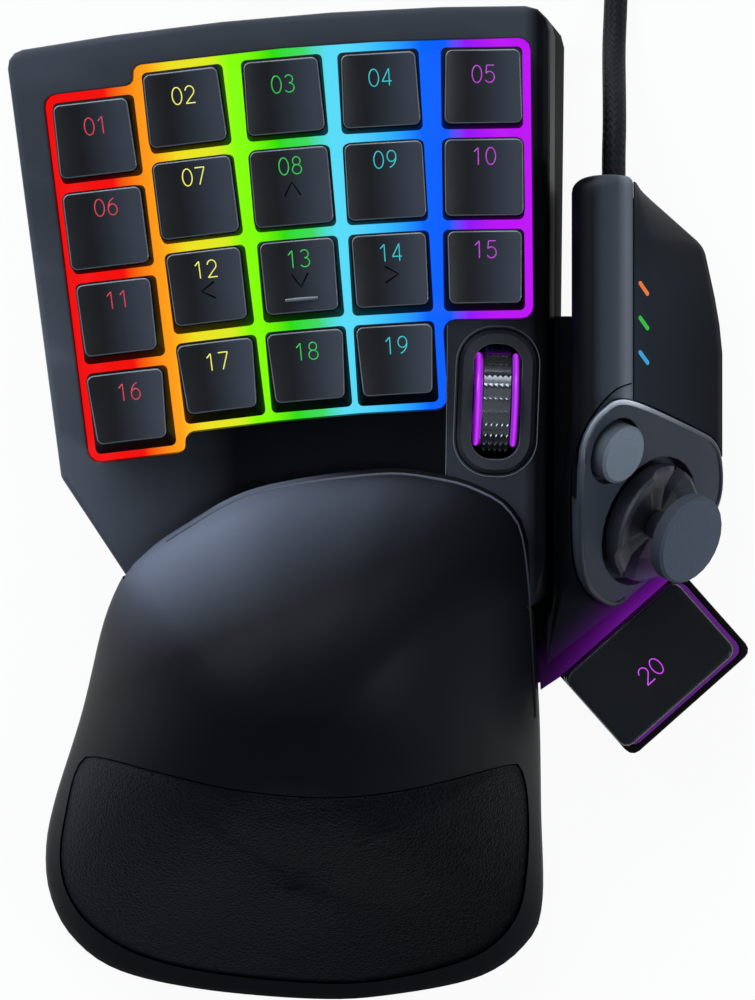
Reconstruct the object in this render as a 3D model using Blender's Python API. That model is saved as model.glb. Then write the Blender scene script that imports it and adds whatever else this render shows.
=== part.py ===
"""Left-hand gaming keypad: nineteen keys, a scroll wheel, a thumb module with a stick, a button and
a space key, a sliding palm rest with a cushion, and a braided lead with its plug.
Metres, +Z up, +Y to the back, the origin on the floor under the middle of the body."""

import math

import bmesh
import bpy
import numpy as np
from mathutils import Matrix, Vector

# Sizes shared by the pieces
gap = 0.0003
wall = 0.0020
overrun = 0.0100
foot_height = 0.0020
arc_steps = 4
wheel_arc_steps = 7

# The middle of the body, without its lead, as drawn here. The origin is set under it
middle_x = 0.0010
middle_y = -0.0021

# Deck: the sloping box that carries the finger keys
deck_left = -0.0750
deck_front = -0.0220
deck_width = 0.1096
deck_length = 0.1218
deck_height = 0.0295
deck_tilt = math.radians(5.0)
deck_corner = 0.0050
deck_back_bow = 0.0025
deck_rim = 0.0011
deck_rim_depth = 0.0012
deck_shell_depth = 0.0120
deck_lean_shares = (0.133, -0.090)
deck_foot_inset = 0.0020
deck_skirt_height = 0.0030
floor_thickness = 0.0020
deck_corner_shares = [
    (0.985, 0.000, 0.8),
    (1.000, 0.080, 0.8),
    (1.000, 1.000, 1.0),
    (0.000, 0.923, 0.7),
    (0.097, 0.219, 0.6),
    (0.2555, 0.000, 0.6),
]

# Finger keys: five fanned columns, four rows and three in the last column
key_size = 0.0164
key_corner = 0.0011
key_pitch = 0.0183
key_height = 0.0098
key_skirt_drop = 0.0006
key_travel = 0.0035
key_wall = 0.0012
key_dish = 0.0006
key_edge = 0.0005
key_stem = 0.0040
# the top key of each column, as shares of the deck's width and length
key_column_shares = [(0.1706, 0.7791), (0.3339, 0.8292), (0.5137, 0.8473), (0.6889, 0.8580), (0.8759, 0.8637)]
key_column_turns = [math.radians(a) for a in (6.8, 7.0, 5.0, 3.4, 0.8)]
key_column_rows = [4, 4, 4, 4, 3]
# back width, front width, depth and back margin of each row's face, as shares of the key's side
key_face_shares = [
    (0.872, 0.915, 0.860, 0.055),
    (0.921, 0.927, 0.900, 0.020),
    (0.878, 0.850, 0.850, 0.020),
    (0.909, 0.815, 0.815, 0.020),
]
# back and front height of each row's face, as shares of the key's height
key_height_shares = [(1.10, 0.98), (1.02, 0.96), (0.96, 0.96), (0.92, 1.00)]
homing_bar_width = 0.0042
homing_bar_depth = 0.0006
homing_bar_height = 0.0004
homing_column, homing_row = 2, 2

# Light well, diffuser, switches and board under the keys
well_margin = 0.0018
well_corner = 0.0024
collar_wall = 0.0012
key_clearance = 0.0009
diffuser_depth = key_skirt_drop + key_travel + key_clearance
diffuser_thickness = 0.0014
housing_size = 0.0128
housing_top_size = 0.0108
housing_depth = 0.0016
housing_well = 0.0056
plate_thickness = 0.0015
switch_leg_depth = 0.0121
board_thickness = 0.0016
post_radius = 0.0026
deck_post_shares = [(0.14, 0.84), (0.88, 0.88), (0.90, 0.56), (0.19, 0.26), (0.62, 0.32)]

# Scroll wheel
wheel_x = 0.0241
wheel_y = 0.0200
wheel_turn = math.radians(-2.0)
wheel_radius = 0.0112
wheel_rise = 0.0045
wheel_click = 0.0008
tyre_width = 0.0060
tyre_thickness = 0.0028
tyre_rib_height = 0.0006
tyre_ribs = 26
flange_radius = 0.0095
flange_width = 0.0009
axle_radius = 0.0015
wheel_opening_width = 0.0100
wheel_opening_length = 0.0236
wheel_opening_corner = 0.0042
wheel_ring_width = 0.0028
wheel_ring_rise = 0.0008
wheel_ring_flange = 0.0006
wheel_ring_flange_depth = 0.0010
cheek_width = 0.0015
cheek_radius = 0.0028
carriage_foot_length = 0.0100
carriage_foot_depth = 0.0016
carriage_foot_gap = 0.0008
tower_depth = 0.0200
tower_bottom_depth = deck_height + wheel_y * math.sin(deck_tilt) - foot_height - floor_thickness / 2

# Side casing: the bridge, the apron and the casing of the thumb module
side_left = 0.0348
side_front = -0.0375
side_width = 0.0360
side_length = 0.1020
side_height = 0.0120
side_corner = 0.0030
side_foot_inset = 0.0015
side_corner_shares = [
    (0.000, 0.036, 0.0),
    (0.653, 0.2245, 0.0),
    (0.836, 0.282, 1.0),
    (1.000, 0.370, 1.6),
    (1.000, 0.667, 2.0),
    (0.955, 0.781, 2.0),
    (0.870, 0.882, 1.4),
    (0.430, 1.000, 0.8),
    (0.180, 1.000, 1.0),
    (0.180, 0.735, 0.0),
    (0.067, 0.735, 0.0),
    (0.067, 0.152, 0.0),
]

# Thumb module: the round spine, the sloping side cover and the tilted face
spine_left = 0.0390
spine_width = 0.0120
spine_top = 0.0490
spine_end_plate = 0.0027
# the spine's outer side in section, as shares of its width and top height
spine_section_shares = [
    (0.18, 0.250),
    (0.06, 0.620),
    (0.00, 0.840),
    (0.05, 0.925),
    (0.22, 0.982),
    (0.48, 1.000),
    (0.76, 0.985),
    (1.00, 0.935),
]
cover_shoulder = 0.0200
cover_reach = 0.0196
# the side cover in section, as shares of its reach and of the fall from seam to shoulder
cover_section_shares = [(0.25, 0.17), (0.50, 0.42), (0.75, 0.70), (0.93, 0.90), (1.00, 1.00)]
module_back = 0.0647
module_length = 0.0640
# places from back to front, with the cover's reach, the height and the narrowing there, as shares
module_station_shares = [
    (0.000, 0.07, 0.93, 0.26),
    (0.008, 0.08, 0.97, 0.12),
    (0.022, 0.10, 1.00, 0.03),
    (0.045, 0.13, 1.00, 0.00),
    (0.110, 0.41, 1.00, 0.00),
    (0.193, 0.77, 1.00, 0.00),
    (0.361, 0.92, 1.00, 0.00),
    (0.542, 1.00, 1.00, 0.00),
    (1.000, 1.00, 1.00, 0.00),
]
face_x = 0.0550
face_y = -0.0043
face_z = 0.0310
face_tilt = math.radians(50.0)
face_turn = math.radians(26.0)
face_cap_height = 0.0530
face_rim = 0.0014
face_rim_drop = 0.0013
face_half = 0.0250
face_points = 40
# the face's outline seen from above, from its centre, as shares of its half length
face_outline_shares = [
    (-0.440, 0.880),
    (-0.580, 0.660),
    (-0.610, 0.400),
    (-0.610, -0.106),
    (-0.575, -0.404),
    (-0.470, -0.600),
    (-0.270, -0.700),
    (-0.060, -0.550),
    (0.150, -0.360),
    (0.410, -0.130),
    (0.560, 0.010),
    (0.640, 0.200),
    (0.640, 0.440),
    (0.575, 0.640),
    (0.388, 0.755),
    (-0.198, 0.972),
]

# Thumb stick, its lobed pad, its gimbal, and the round button
pad_radius = 0.0124
pad_low = -0.0012
pad_rise = 0.0034
pad_dish = 0.0016
pad_notch_width = 0.0052
pad_notch_depth = 0.0034
stick_tilt = math.radians(7.0)
stick_pivot_depth = 0.0072
pad_clearance = 0.0015
pad_pocket_radius = pad_radius + stick_pivot_depth * math.sin(stick_tilt) + 2 * gap
pad_pocket_depth = pad_radius * math.sin(stick_tilt) - pad_low + pad_clearance
stick_neck_radius = 0.0030
stick_stem_radius = 0.0021
stick_cap_radius = 0.0092
stick_cap_thickness = 0.0036
stick_cap_height = 0.0122
stick_cap_crown = 0.0008
gimbal_radius = 0.0052
gimbal_bore = 0.0036
gimbal_thickness = 0.0030
gimbal_pin_radius = 0.0009
gimbal_pin_reach = 0.0072
gimbal_well_radius = 0.0062
gimbal_well_depth = 0.0105
button_down = -0.0204
button_along = 0.0092
button_radius = 0.0060
button_pocket_radius = 0.0070
button_rise = 0.0030
button_depth = 0.0028
button_crown = 0.0008
button_travel = 0.0010
button_pocket_depth = 0.0062
button_switch_size = 0.0045
button_switch_height = 0.0014
button_plunger_radius = 0.0016

# Status lamps on the side cover
lamp_length = 0.0032
lamp_width = 0.0011
lamp_turn = math.radians(-42.0)
lamp_inset = 0.0029
lamp_back = 0.0423
lamp_spacing = 0.0069
lamp_count = 3

# Board under the thumb module
thumb_board_left = 0.0455
thumb_board_width = 0.0180
thumb_board_back = 0.0400
thumb_board_length = 0.0420

# Thumb space key, its frame and light ring
bar_x = 0.0559
bar_forward = 0.0192
bar_y = side_front + side_length * side_corner_shares[1][1] - bar_forward
bar_turn = math.radians(41.6)
bar_length = 0.0306
bar_width = 0.0196
bar_corner = 0.0020
bar_top = 0.0205
bar_thickness = 0.0050
bar_travel = 0.0025
bar_edge = 0.0004
bar_stem_length = 0.0160
bar_stem_width = 0.0070
bar_clearance = 0.0017
bar_stem_bottom = foot_height + floor_thickness + bar_travel + bar_clearance
bar_frame_border = 0.0013
bar_frame_shift = 0.0013
bar_frame_rim = 0.0010
bar_frame_top = 0.0124
bar_frame_step = 0.0015
bar_light_width = 0.0018
bar_light_height = 0.0012
bar_shelf_reach = 0.0060

# Apron between the deck, the palm rest and the thumb module
apron_height = 0.0250
apron_low = 0.0150
apron_fall_start = -0.0050
apron_corner_shares = [(0.0, 0.036), (0.600, 0.2078), (0.03, 0.735), (0.03, 0.152), (0.0, 0.127)]
apron_face_share = 0.500

# Tongue and palm rest
tongue_centre = -0.0150
tongue_width = 0.0440
tongue_thickness = 0.0030
tongue_bottom = 0.0070
tongue_hold = 0.0300
palm_slide = 0.0140
tongue_front = deck_front - palm_slide - tongue_hold
palm_right = 0.0342
palm_width = 0.1029
palm_left = palm_right - palm_width
palm_front = -0.1035
palm_length = 0.1098
palm_wall = 0.0032
palm_bottom = 0.0035
palm_bottom_inset = 0.0015
palm_deck_gap = 0.0006
palm_top = 0.0626
palm_outline_shares = [
    (0.667, 1.000),
    (0.426, 0.964),
    (0.277, 0.891),
    (0.195, 0.835),
    (0.162, 0.798),
    (0.120, 0.707),
    (0.074, 0.541),
    (0.019, 0.378),
    (0.000, 0.284),
    (0.008, 0.198),
    (0.051, 0.119),
    (0.141, 0.056),
    (0.306, 0.019),
    (0.532, 0.000),
    (0.683, 0.006),
    (0.870, 0.041),
    (0.968, 0.106),
    (1.000, 0.184),
    (0.997, 0.359),
    (0.991, 0.571),
    (0.967, 0.847),
    (0.932, 0.930),
    (0.865, 0.970),
    (0.792, 0.990),
]
# height of the palm rest's ridge from front to back, as shares of its length and of its top height
palm_ridge_shares = [
    (0.000, 0.270),
    (0.120, 0.400),
    (0.260, 0.600),
    (0.400, 0.800),
    (0.520, 0.940),
    (0.640, 1.000),
    (0.760, 0.985),
    (0.880, 0.860),
    (0.960, 0.690),
    (1.000, 0.560),
]
# height of its rim, as shares of the same
palm_rim_shares = [(0.000, 0.150), (0.250, 0.170), (0.600, 0.250), (0.800, 0.430), (1.000, 0.535)]
palm_hub_shares = (0.500, 0.480)
palm_dome_powers = (2.6, 0.75)
palm_loop_shares = [1.0, 0.975, 0.93, 0.86, 0.74, 0.56, 0.32, 0.12]
palm_points = 42
pad_inset_depth = 0.0018
pad_seat_gap = 0.0006
pad_crown = 0.0012
pad_edge_drop = 0.0006
pad_hub_shares = (0.500, 0.240)
pad_points = 40
pad_floor_shares = [0.15, 0.40, 0.65, 0.85, 1.00]
pad_top_shares = [1.0, 0.975, 0.93, 0.8, 0.6, 0.35, 0.12]
pad_outline_shares = [
    (0.110, 0.467),
    (0.071, 0.440),
    (0.049, 0.363),
    (0.035, 0.276),
    (0.049, 0.202),
    (0.100, 0.139),
    (0.196, 0.086),
    (0.346, 0.052),
    (0.570, 0.033),
    (0.719, 0.046),
    (0.869, 0.089),
    (0.943, 0.158),
    (0.965, 0.252),
    (0.967, 0.360),
    (0.955, 0.431),
    (0.925, 0.451),
    (0.717, 0.415),
    (0.558, 0.404),
    (0.391, 0.419),
    (0.244, 0.447),
]
tray_thickness = 0.0020
tray_back = -0.0275
rail_thickness = 0.0020
rail_lip = 0.0030

# Feet
foot_radius = 0.0060
deck_foot_shares = [(0.14, 0.80), (0.86, 0.86)]
side_foot_shares = [(0.68, 0.74)]
palm_foot_length = 0.0220
palm_foot_width = 0.0070
palm_foot_shares = [(0.25, 0.16), (0.76, 0.16)]

# Lead, coil, tie and plug
lead_length = 2.1
lead_diameter = 0.0049
gland_flange_radius = 0.0045
gland_flange_thickness = 0.0015
gland_radius = 0.0033
gland_reach = 0.0012
lead_route = [
    (0.0486, 0.0662, 0.0172),
    (0.0486, 0.0712, 0.0172),
    (0.0488, 0.0765, 0.0160),
    (0.0490, 0.0830, 0.0122),
    (0.0492, 0.0895, 0.0072),
    (0.0494, 0.0950, 0.0038),
    (0.0497, 0.1010, 0.0027),
    (0.0500, 0.1090, 0.0027),
    (0.0503, 0.1180, 0.0029),
    (0.0505, 0.1280, 0.0032),
    (0.0506, 0.1380, 0.0037),
    (0.0506, 0.1480, 0.0042),
    (0.0506, 0.1560, 0.00425),
    (0.0506, 0.1640, 0.00425),
]
lead_points = 32
coil_layer_turns = 2.75
coil_layers = 4
coil_gap = 0.0006
coil_loop_points = 24
coil_middle_diameters = 11.0
coil_tail_share = 1.2
tie_angle = math.radians(270.0)
tie_width = 0.0060
tie_thickness = 0.0012
tie_corner = 0.0036
plug_length = 0.0300
plug_width = 0.0157
plug_height = 0.0080
plug_corner = 0.0022
plug_shell_length = 0.0188
plug_shell_width = 0.0120
plug_shell_height = 0.0045
plug_shell_wall = 0.0004
plug_tongue_thickness = 0.0018
plug_tongue_width = 0.0100


# Start from an empty file
for leftover in list(bpy.data.objects):
    bpy.data.objects.remove(leftover, do_unlink=True)


# Flat outlines, all counter-clockwise


def rounded(corners, steps=arc_steps):
    """An outline through (x, y, radius) corners. A radius is cut as an arc, limited by its two sides."""
    points = []
    count = len(corners)
    for index, (x, y, radius) in enumerate(corners):
        here = Vector((x, y))
        back = Vector(corners[index - 1][:2]) - here
        ahead = Vector(corners[(index + 1) % count][:2]) - here
        half = back.angle(ahead) / 2
        if radius == 0 or half > math.radians(84):
            points.append((x, y))
            continue
        reach = min(radius / math.tan(half), back.length * 0.45, ahead.length * 0.45)
        start = here + back.normalized() * reach
        end = here + ahead.normalized() * reach
        centre = here + (back.normalized() + ahead.normalized()).normalized() * (reach / math.cos(half))
        sweep = (start - centre).angle_signed(end - centre)
        for step in range(steps):
            spoke = start - centre
            spoke.rotate(Matrix.Rotation(-sweep * step / (steps - 1), 2))
            points.append(tuple(centre + spoke))
    return points


def inset(outline, distance):
    """The outline moved inwards by a distance, with the same number of points."""
    moved = []
    count = len(outline)
    for index in range(count):
        here = Vector(outline[index])
        before = (here - Vector(outline[index - 1])).normalized()
        after = (Vector(outline[(index + 1) % count]) - here).normalized()
        normal = Vector((-before.y - after.y, before.x + after.x)).normalized()
        square = max(normal.dot(Vector((-before.y, before.x))), 0.5)
        moved.append(tuple(here + normal * (distance / square)))
    return moved


def box_outline(width, length, radius=0.0, centre=(0.0, 0.0), steps=arc_steps):
    x, y = width / 2, length / 2
    corners = [(x, -y), (x, y), (-x, y), (-x, -y)]
    return rounded([(centre[0] + a, centre[1] + b, radius) for a, b in corners], steps)


def circle(radius, sides, centre=(0.0, 0.0), start=0.0):
    angles = [start + 2 * math.pi * i / sides for i in range(sides)]
    return [(centre[0] + radius * math.cos(a), centre[1] + radius * math.sin(a)) for a in angles]


def turned(outline, angle, centre=(0.0, 0.0)):
    c, s = math.cos(angle), math.sin(angle)
    return [(centre[0] + a * c - b * s, centre[1] + a * s + b * c) for a, b in outline]


def smooth_closed(points, count):
    """A closed curve through the points, read at evenly spaced places."""
    points = np.array(points)
    dense = []
    for i in range(len(points)):
        p0, p1, p2, p3 = (points[(i + k) % len(points)] for k in (-1, 0, 1, 2))
        for t in np.linspace(0, 1, 24, endpoint=False):
            dense.append(
                0.5 * (2 * p1 + (p2 - p0) * t + (2 * p0 - 5 * p1 + 4 * p2 - p3) * t**2
                       + (3 * p1 - p0 - 3 * p2 + p3) * t**3)
            )
    return evenly(np.array(dense + [dense[0]]), count + 1)[:-1]


def smooth_open(points, count):
    """A curve through the points from first to last, read at evenly spaced places."""
    points = np.array(points)
    padded = np.vstack([2 * points[0] - points[1], points, 2 * points[-1] - points[-2]])
    dense = []
    for i in range(1, len(padded) - 2):
        p0, p1, p2, p3 = padded[i - 1:i + 3]
        for t in np.linspace(0, 1, 24, endpoint=False):
            dense.append(
                0.5 * (2 * p1 + (p2 - p0) * t + (2 * p0 - 5 * p1 + 4 * p2 - p3) * t**2
                       + (3 * p1 - p0 - 3 * p2 + p3) * t**3)
            )
    return evenly(np.array(dense + [points[-1]]), count)


def evenly(line, count):
    steps = np.linalg.norm(np.diff(line, axis=0), axis=1)
    along = np.concatenate([[0], np.cumsum(steps)])
    wanted = np.linspace(0, along[-1], count)
    return [tuple(np.interp(w, along, line[:, k]) for k in range(line.shape[1])) for w in wanted]


def at_height(outline, height):
    return [(x, y, height) for x, y in outline]


# Solids


def finish(name, colour, roughness=0.5, metallic=0.0, glow=0.0):
    material = bpy.data.materials.new(name)
    material.use_nodes = True
    shader = material.node_tree.nodes["Principled BSDF"]
    shader.inputs["Base Color"].default_value = (*colour, 1)
    shader.inputs["Roughness"].default_value = roughness
    shader.inputs["Metallic"].default_value = metallic
    if glow:
        shader.inputs["Emission Color"].default_value = (*colour, 1)
        shader.inputs["Emission Strength"].default_value = glow
    material.diffuse_color = (*colour, 1)
    return material


keypad = bpy.data.objects.new("keypad", None)
bpy.context.scene.collection.objects.link(keypad)
keypad.location = (-middle_x, -middle_y, 0)


def place(name, mesh, material=None, parent=keypad):
    obj = bpy.data.objects.new(name, mesh)
    bpy.context.scene.collection.objects.link(obj)
    if material:
        mesh.materials.append(material)
    obj.parent = parent
    return obj


def mesh_of(name, points, faces, sharp=math.radians(32)):
    mesh = bpy.data.meshes.new(name)
    mesh.from_pydata([tuple(p) for p in points], [], faces)
    solid = bmesh.new()
    solid.from_mesh(mesh)
    bmesh.ops.recalc_face_normals(solid, faces=solid.faces)
    solid.to_mesh(mesh)
    solid.free()
    mesh.shade_smooth()
    mesh.set_sharp_from_angle(angle=sharp)
    return mesh


def loft(name, loops, material=None, parent=keypad, folded=False):
    """A closed solid through loops of equally many points, with flat ends. A folded one has each
    side face as two triangles, so that a solid and the recess it lies in bend along the same lines."""
    count = len(loops[0])
    points = [p for loop in loops for p in loop]
    faces = []
    for level in range(len(loops) - 1):
        low, high = level * count, (level + 1) * count
        for i in range(count):
            j = (i + 1) % count
            if folded:
                faces += [(low + i, low + j, high + j), (low + i, high + j, high + i)]
            else:
                faces.append((low + i, low + j, high + j, high + i))
    faces.append(tuple(range(count - 1, -1, -1)))
    faces.append(tuple(range((len(loops) - 1) * count, len(loops) * count)))
    return place(name, mesh_of(name, points, faces), material, parent)


def prism(name, outline, low, high, material=None, parent=keypad):
    return loft(name, [at_height(outline, low), at_height(outline, high)], material, parent)


def cutter(obj):
    obj.hide_render = True
    obj.display_type = "WIRE"
    return obj


def combine(target, other, operation):
    modifier = target.modifiers.new(other.name, "BOOLEAN")
    modifier.object = cutter(other)
    modifier.operation = operation
    modifier.solver = "EXACT"
    return target


def cut(target, *others):
    for other in others:
        combine(target, other, "DIFFERENCE")
    return target


def fuse(target, *others):
    for other in others:
        combine(target, other, "UNION")
    return target


def frame(name, matrix, parent=keypad):
    empty = bpy.data.objects.new(name, None)
    bpy.context.scene.collection.objects.link(empty)
    empty.parent = parent
    empty.matrix_local = matrix
    return empty


# Finishes
shell_black = finish("shell_black", (0.022, 0.024, 0.028), 0.42)
base_black = finish("base_black", (0.012, 0.012, 0.014), 0.6)
soft_black = finish("soft_black", (0.020, 0.022, 0.027), 0.55)
cap_black = finish("cap_black", (0.018, 0.019, 0.022), 0.45)
frosted = finish("frosted", (0.75, 0.78, 0.85), 0.35, glow=0.5)
violet_light = finish("violet_light", (0.45, 0.05, 0.75), 0.3, glow=1.0)
board_green = finish("board_green", (0.02, 0.06, 0.04), 0.5)
switch_grey = finish("switch_grey", (0.20, 0.21, 0.22), 0.5)
rubber_grey = finish("rubber_grey", (0.075, 0.080, 0.090), 0.6)
rubber_black = finish("rubber_black", (0.015, 0.015, 0.015), 0.85)
tread = finish("tread", (0.16, 0.17, 0.19), 0.35, 0.4)
leatherette = finish("leatherette", (0.012, 0.012, 0.014), 0.5)
braid = finish("braid", (0.016, 0.016, 0.018), 0.8)
plug_metal = finish("plug_metal", (0.72, 0.73, 0.75), 0.25, 1.0)
lamp_colours = [(0.95, 0.35, 0.02), (0.02, 0.80, 0.10), (0.02, 0.45, 0.95)]

# Deck frame: its X and Y lie on the deck's sloping top, its Z points out of the keys' faces
deck = frame("deck", Matrix.Translation((0, 0, deck_height)) @ Matrix.Rotation(deck_tilt, 4, "X"))


def deck_place(share_x, share_y):
    return deck_left + deck_width * share_x, deck_front + deck_length * share_y


def deck_outline():
    """The deck's top edge, with its bowed back."""
    corners = []
    for x, y, radius in deck_corner_shares:
        corners.append((*deck_place(x, y), deck_corner * radius))
    right, left = corners[2], corners[3]
    chord = Vector((left[0] - right[0], left[1] - right[1]))
    out = Vector((chord.y, -chord.x)).normalized()
    bowed = []
    for step in (1, 2, 3, 4):
        t = step / 5
        middle = Vector(right[:2]) + chord * t + out * (deck_back_bow * 4 * t * (1 - t))
        bowed.append((middle.x, middle.y, 0))
    return rounded(corners[:3] + bowed + corners[3:])


def deck_loop(outline, depth):
    """The outline at a depth under the deck's top, leaning as its walls do."""
    lean_x, lean_y = deck_lean_shares
    return [(x + lean_x * depth, y + lean_y * depth, -depth) for x, y in outline]


def deck_loop_at(outline, height):
    """The outline on the leaning walls where they reach a height above the floor."""
    lean_y = deck_lean_shares[1]
    loop = []
    for x, y in outline:
        rise = deck_height - height + y * math.sin(deck_tilt)
        depth = rise / (math.cos(deck_tilt) - lean_y * math.sin(deck_tilt))
        loop += deck_loop([(x, y)], depth)
    return loop


def key_places():
    """(column, row, x, y, turn) of each finger key on the deck."""
    places = []
    for column, (share_x, share_y) in enumerate(key_column_shares):
        x, y = deck_place(share_x, share_y)
        turn = key_column_turns[column]
        for row in range(key_column_rows[column]):
            drop = key_pitch * row
            places.append((column, row, x + drop * math.sin(turn), y - drop * math.cos(turn), turn))
    return places


def well_outline(margin):
    """The opening round the keys: it steps with the first and the last column."""
    keys = {(c, r): (x, y, t) for c, r, x, y, t in key_places()}
    reach = key_size / 2 + margin

    def corner(column, row, side, end):
        x, y, turn = keys[column, row]
        offset = Vector((side * reach, end * reach))
        offset.rotate(Matrix.Rotation(turn, 2))
        return Vector((x, y)) + offset

    def meet(a, b, c, d):
        """Where the line through a and b meets the line through c and d."""
        run, other = b - a, d - c
        t = (c - a).cross(other) / run.cross(other)
        return a + run * t

    last = len(key_column_shares) - 1
    bottom = key_column_rows[0] - 1
    foot = key_column_rows[last] - 1
    first_right = (corner(0, 0, 1, 1), corner(0, bottom, 1, -1))
    second_left = (corner(1, 0, -1, 1), corner(1, bottom, -1, -1))
    points = [
        corner(0, bottom, -1, -1),
        first_right[1],
        meet(*first_right, corner(1, bottom, -1, -1), corner(1, bottom, 1, -1)),
    ]
    points += [corner(c, bottom, 1, -1) for c in range(1, last)]
    points += [
        meet(corner(last - 1, 0, 1, 1), corner(last - 1, bottom, 1, -1),
             corner(last, foot, -1, -1), corner(last, foot, 1, -1)),
        corner(last, foot, 1, -1),
        corner(last, 0, 1, 1),
    ]
    points += [corner(c, 0, 0, 1) for c in range(last - 1, 1, -1)]
    points += [
        second_left[0],
        meet(*second_left, corner(0, 0, -1, 1), corner(0, 0, 1, 1)),
        corner(0, 0, -1, 1),
    ]
    return rounded([(p.x, p.y, well_corner) for p in points])


top = deck_outline()
well = well_outline(well_margin)
wheel_hole = box_outline(
    wheel_opening_width + 2 * wheel_ring_width,
    wheel_opening_length + 2 * wheel_ring_width,
    wheel_opening_corner + wheel_ring_width,
    steps=wheel_arc_steps,
)
wheel = frame(
    "wheel",
    Matrix.Translation((wheel_x, wheel_y, 0)) @ Matrix.Rotation(wheel_turn, 4, "Z"),
    deck,
)


def make_top_shell():
    shell = loft(
        "top_shell",
        [
            deck_loop(top, deck_shell_depth),
            deck_loop(top, deck_rim_depth),
            deck_loop(inset(top, deck_rim / 3), deck_rim_depth / 3),
            at_height(inset(top, deck_rim), 0),
        ],
        shell_black,
        deck,
    )
    inside = loft(
        "top_shell_inside",
        [deck_loop(inset(top, wall), deck_shell_depth + overrun), deck_loop(inset(top, wall), wall)],
        parent=deck,
    )
    collar_bottom = diffuser_depth - gap
    collar = prism("well_collar", inset(well, -collar_wall), -collar_bottom, -wall / 2, parent=deck)
    opening = prism("well_opening", well, -overrun, overrun, parent=deck)
    hole = prism("wheel_hole", inset(wheel_hole, -gap), -overrun, overrun, parent=wheel)
    cut(shell, inside)
    fuse(shell, collar)
    cut(shell, opening, hole)


def make_diffuser():
    outline = inset(well, -collar_wall)
    plate = prism(
        "light_diffuser", outline, -diffuser_depth - diffuser_thickness, -diffuser_depth, frosted, deck
    )
    for index, (_, _, x, y, turn) in enumerate(key_places()):
        size = housing_size + 2 * gap
        outline = turned(box_outline(size, size), turn, (x, y))
        cut(plate, prism(f"diffuser_hole_{index + 1:02d}", outline, -2 * overrun, overrun, parent=deck))


def make_switches():
    top_of_plate = diffuser_depth + diffuser_thickness + gap
    outline = inset(well, -collar_wall)
    bank = prism(
        "switch_bank", outline, -top_of_plate - plate_thickness, -top_of_plate, switch_grey, deck
    )
    for index, (_, _, x, y, turn) in enumerate(key_places()):
        square = turned(box_outline(housing_size, housing_size), turn, (x, y))
        small = turned(box_outline(housing_top_size, housing_top_size), turn, (x, y))
        hollow = turned(box_outline(housing_well, housing_well), turn, (x, y))
        body = loft(
            f"housing_{index + 1:02d}",
            [
                at_height(square, -switch_leg_depth),
                at_height(square, -diffuser_depth),
                at_height(small, -housing_depth),
            ],
            parent=deck,
        )
        fuse(bank, body)
        bottom = -switch_leg_depth + wall
        cut(bank, prism(f"housing_well_{index + 1:02d}", hollow, bottom, overrun, parent=deck))


def make_board():
    low = -switch_leg_depth - gap
    prism("main_board", inset(well, -collar_wall), low - board_thickness, low, board_green, deck)


def key_face(row):
    """The back and the front chain of points of a key's dished face, left to right."""
    back_width, front_width, depth, margin = key_face_shares[row]
    back_height, front_height = key_height_shares[row]
    half = key_size / 2
    y_back = half - key_size * margin
    y_front = y_back - key_size * depth
    chains = []
    for width, y, end, height in (
        (back_width, y_back, 1, back_height),
        (front_width, y_front, -1, front_height),
    ):
        side = key_size * width / 2
        chain = []
        for angle in (math.pi, 3 * math.pi / 4, math.pi / 2):
            chain.append((-side + key_corner + key_corner * math.cos(angle),
                          y - end * key_corner + end * key_corner * math.sin(angle)))
        inner = side - key_corner
        chain += [(-inner / 2, y), (0.0, y), (inner / 2, y)]
        chain += [(-px, py) for px, py in reversed(chain[:3])]
        heights = []
        for px, py in chain:
            along = (py - y_front) / (y_back - y_front)
            level = key_height * (front_height + (back_height - front_height) * along)
            heights.append((px, py, level - key_dish * (1 - (px / side) ** 2)))
        chains.append(heights)
    return chains


def key_ring(chains, grow, lift):
    """One loop round a key, from its face's chains, pushed out and lowered."""
    back, front = chains
    loop = []
    for chain, side in ((front, -1), (reversed(back), 1)):
        for x, y, z in chain:
            out = math.copysign(grow, x) if abs(x) > key_corner else 0.0
            loop.append((x + out, y + side * grow, z - lift))
    return loop


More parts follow.
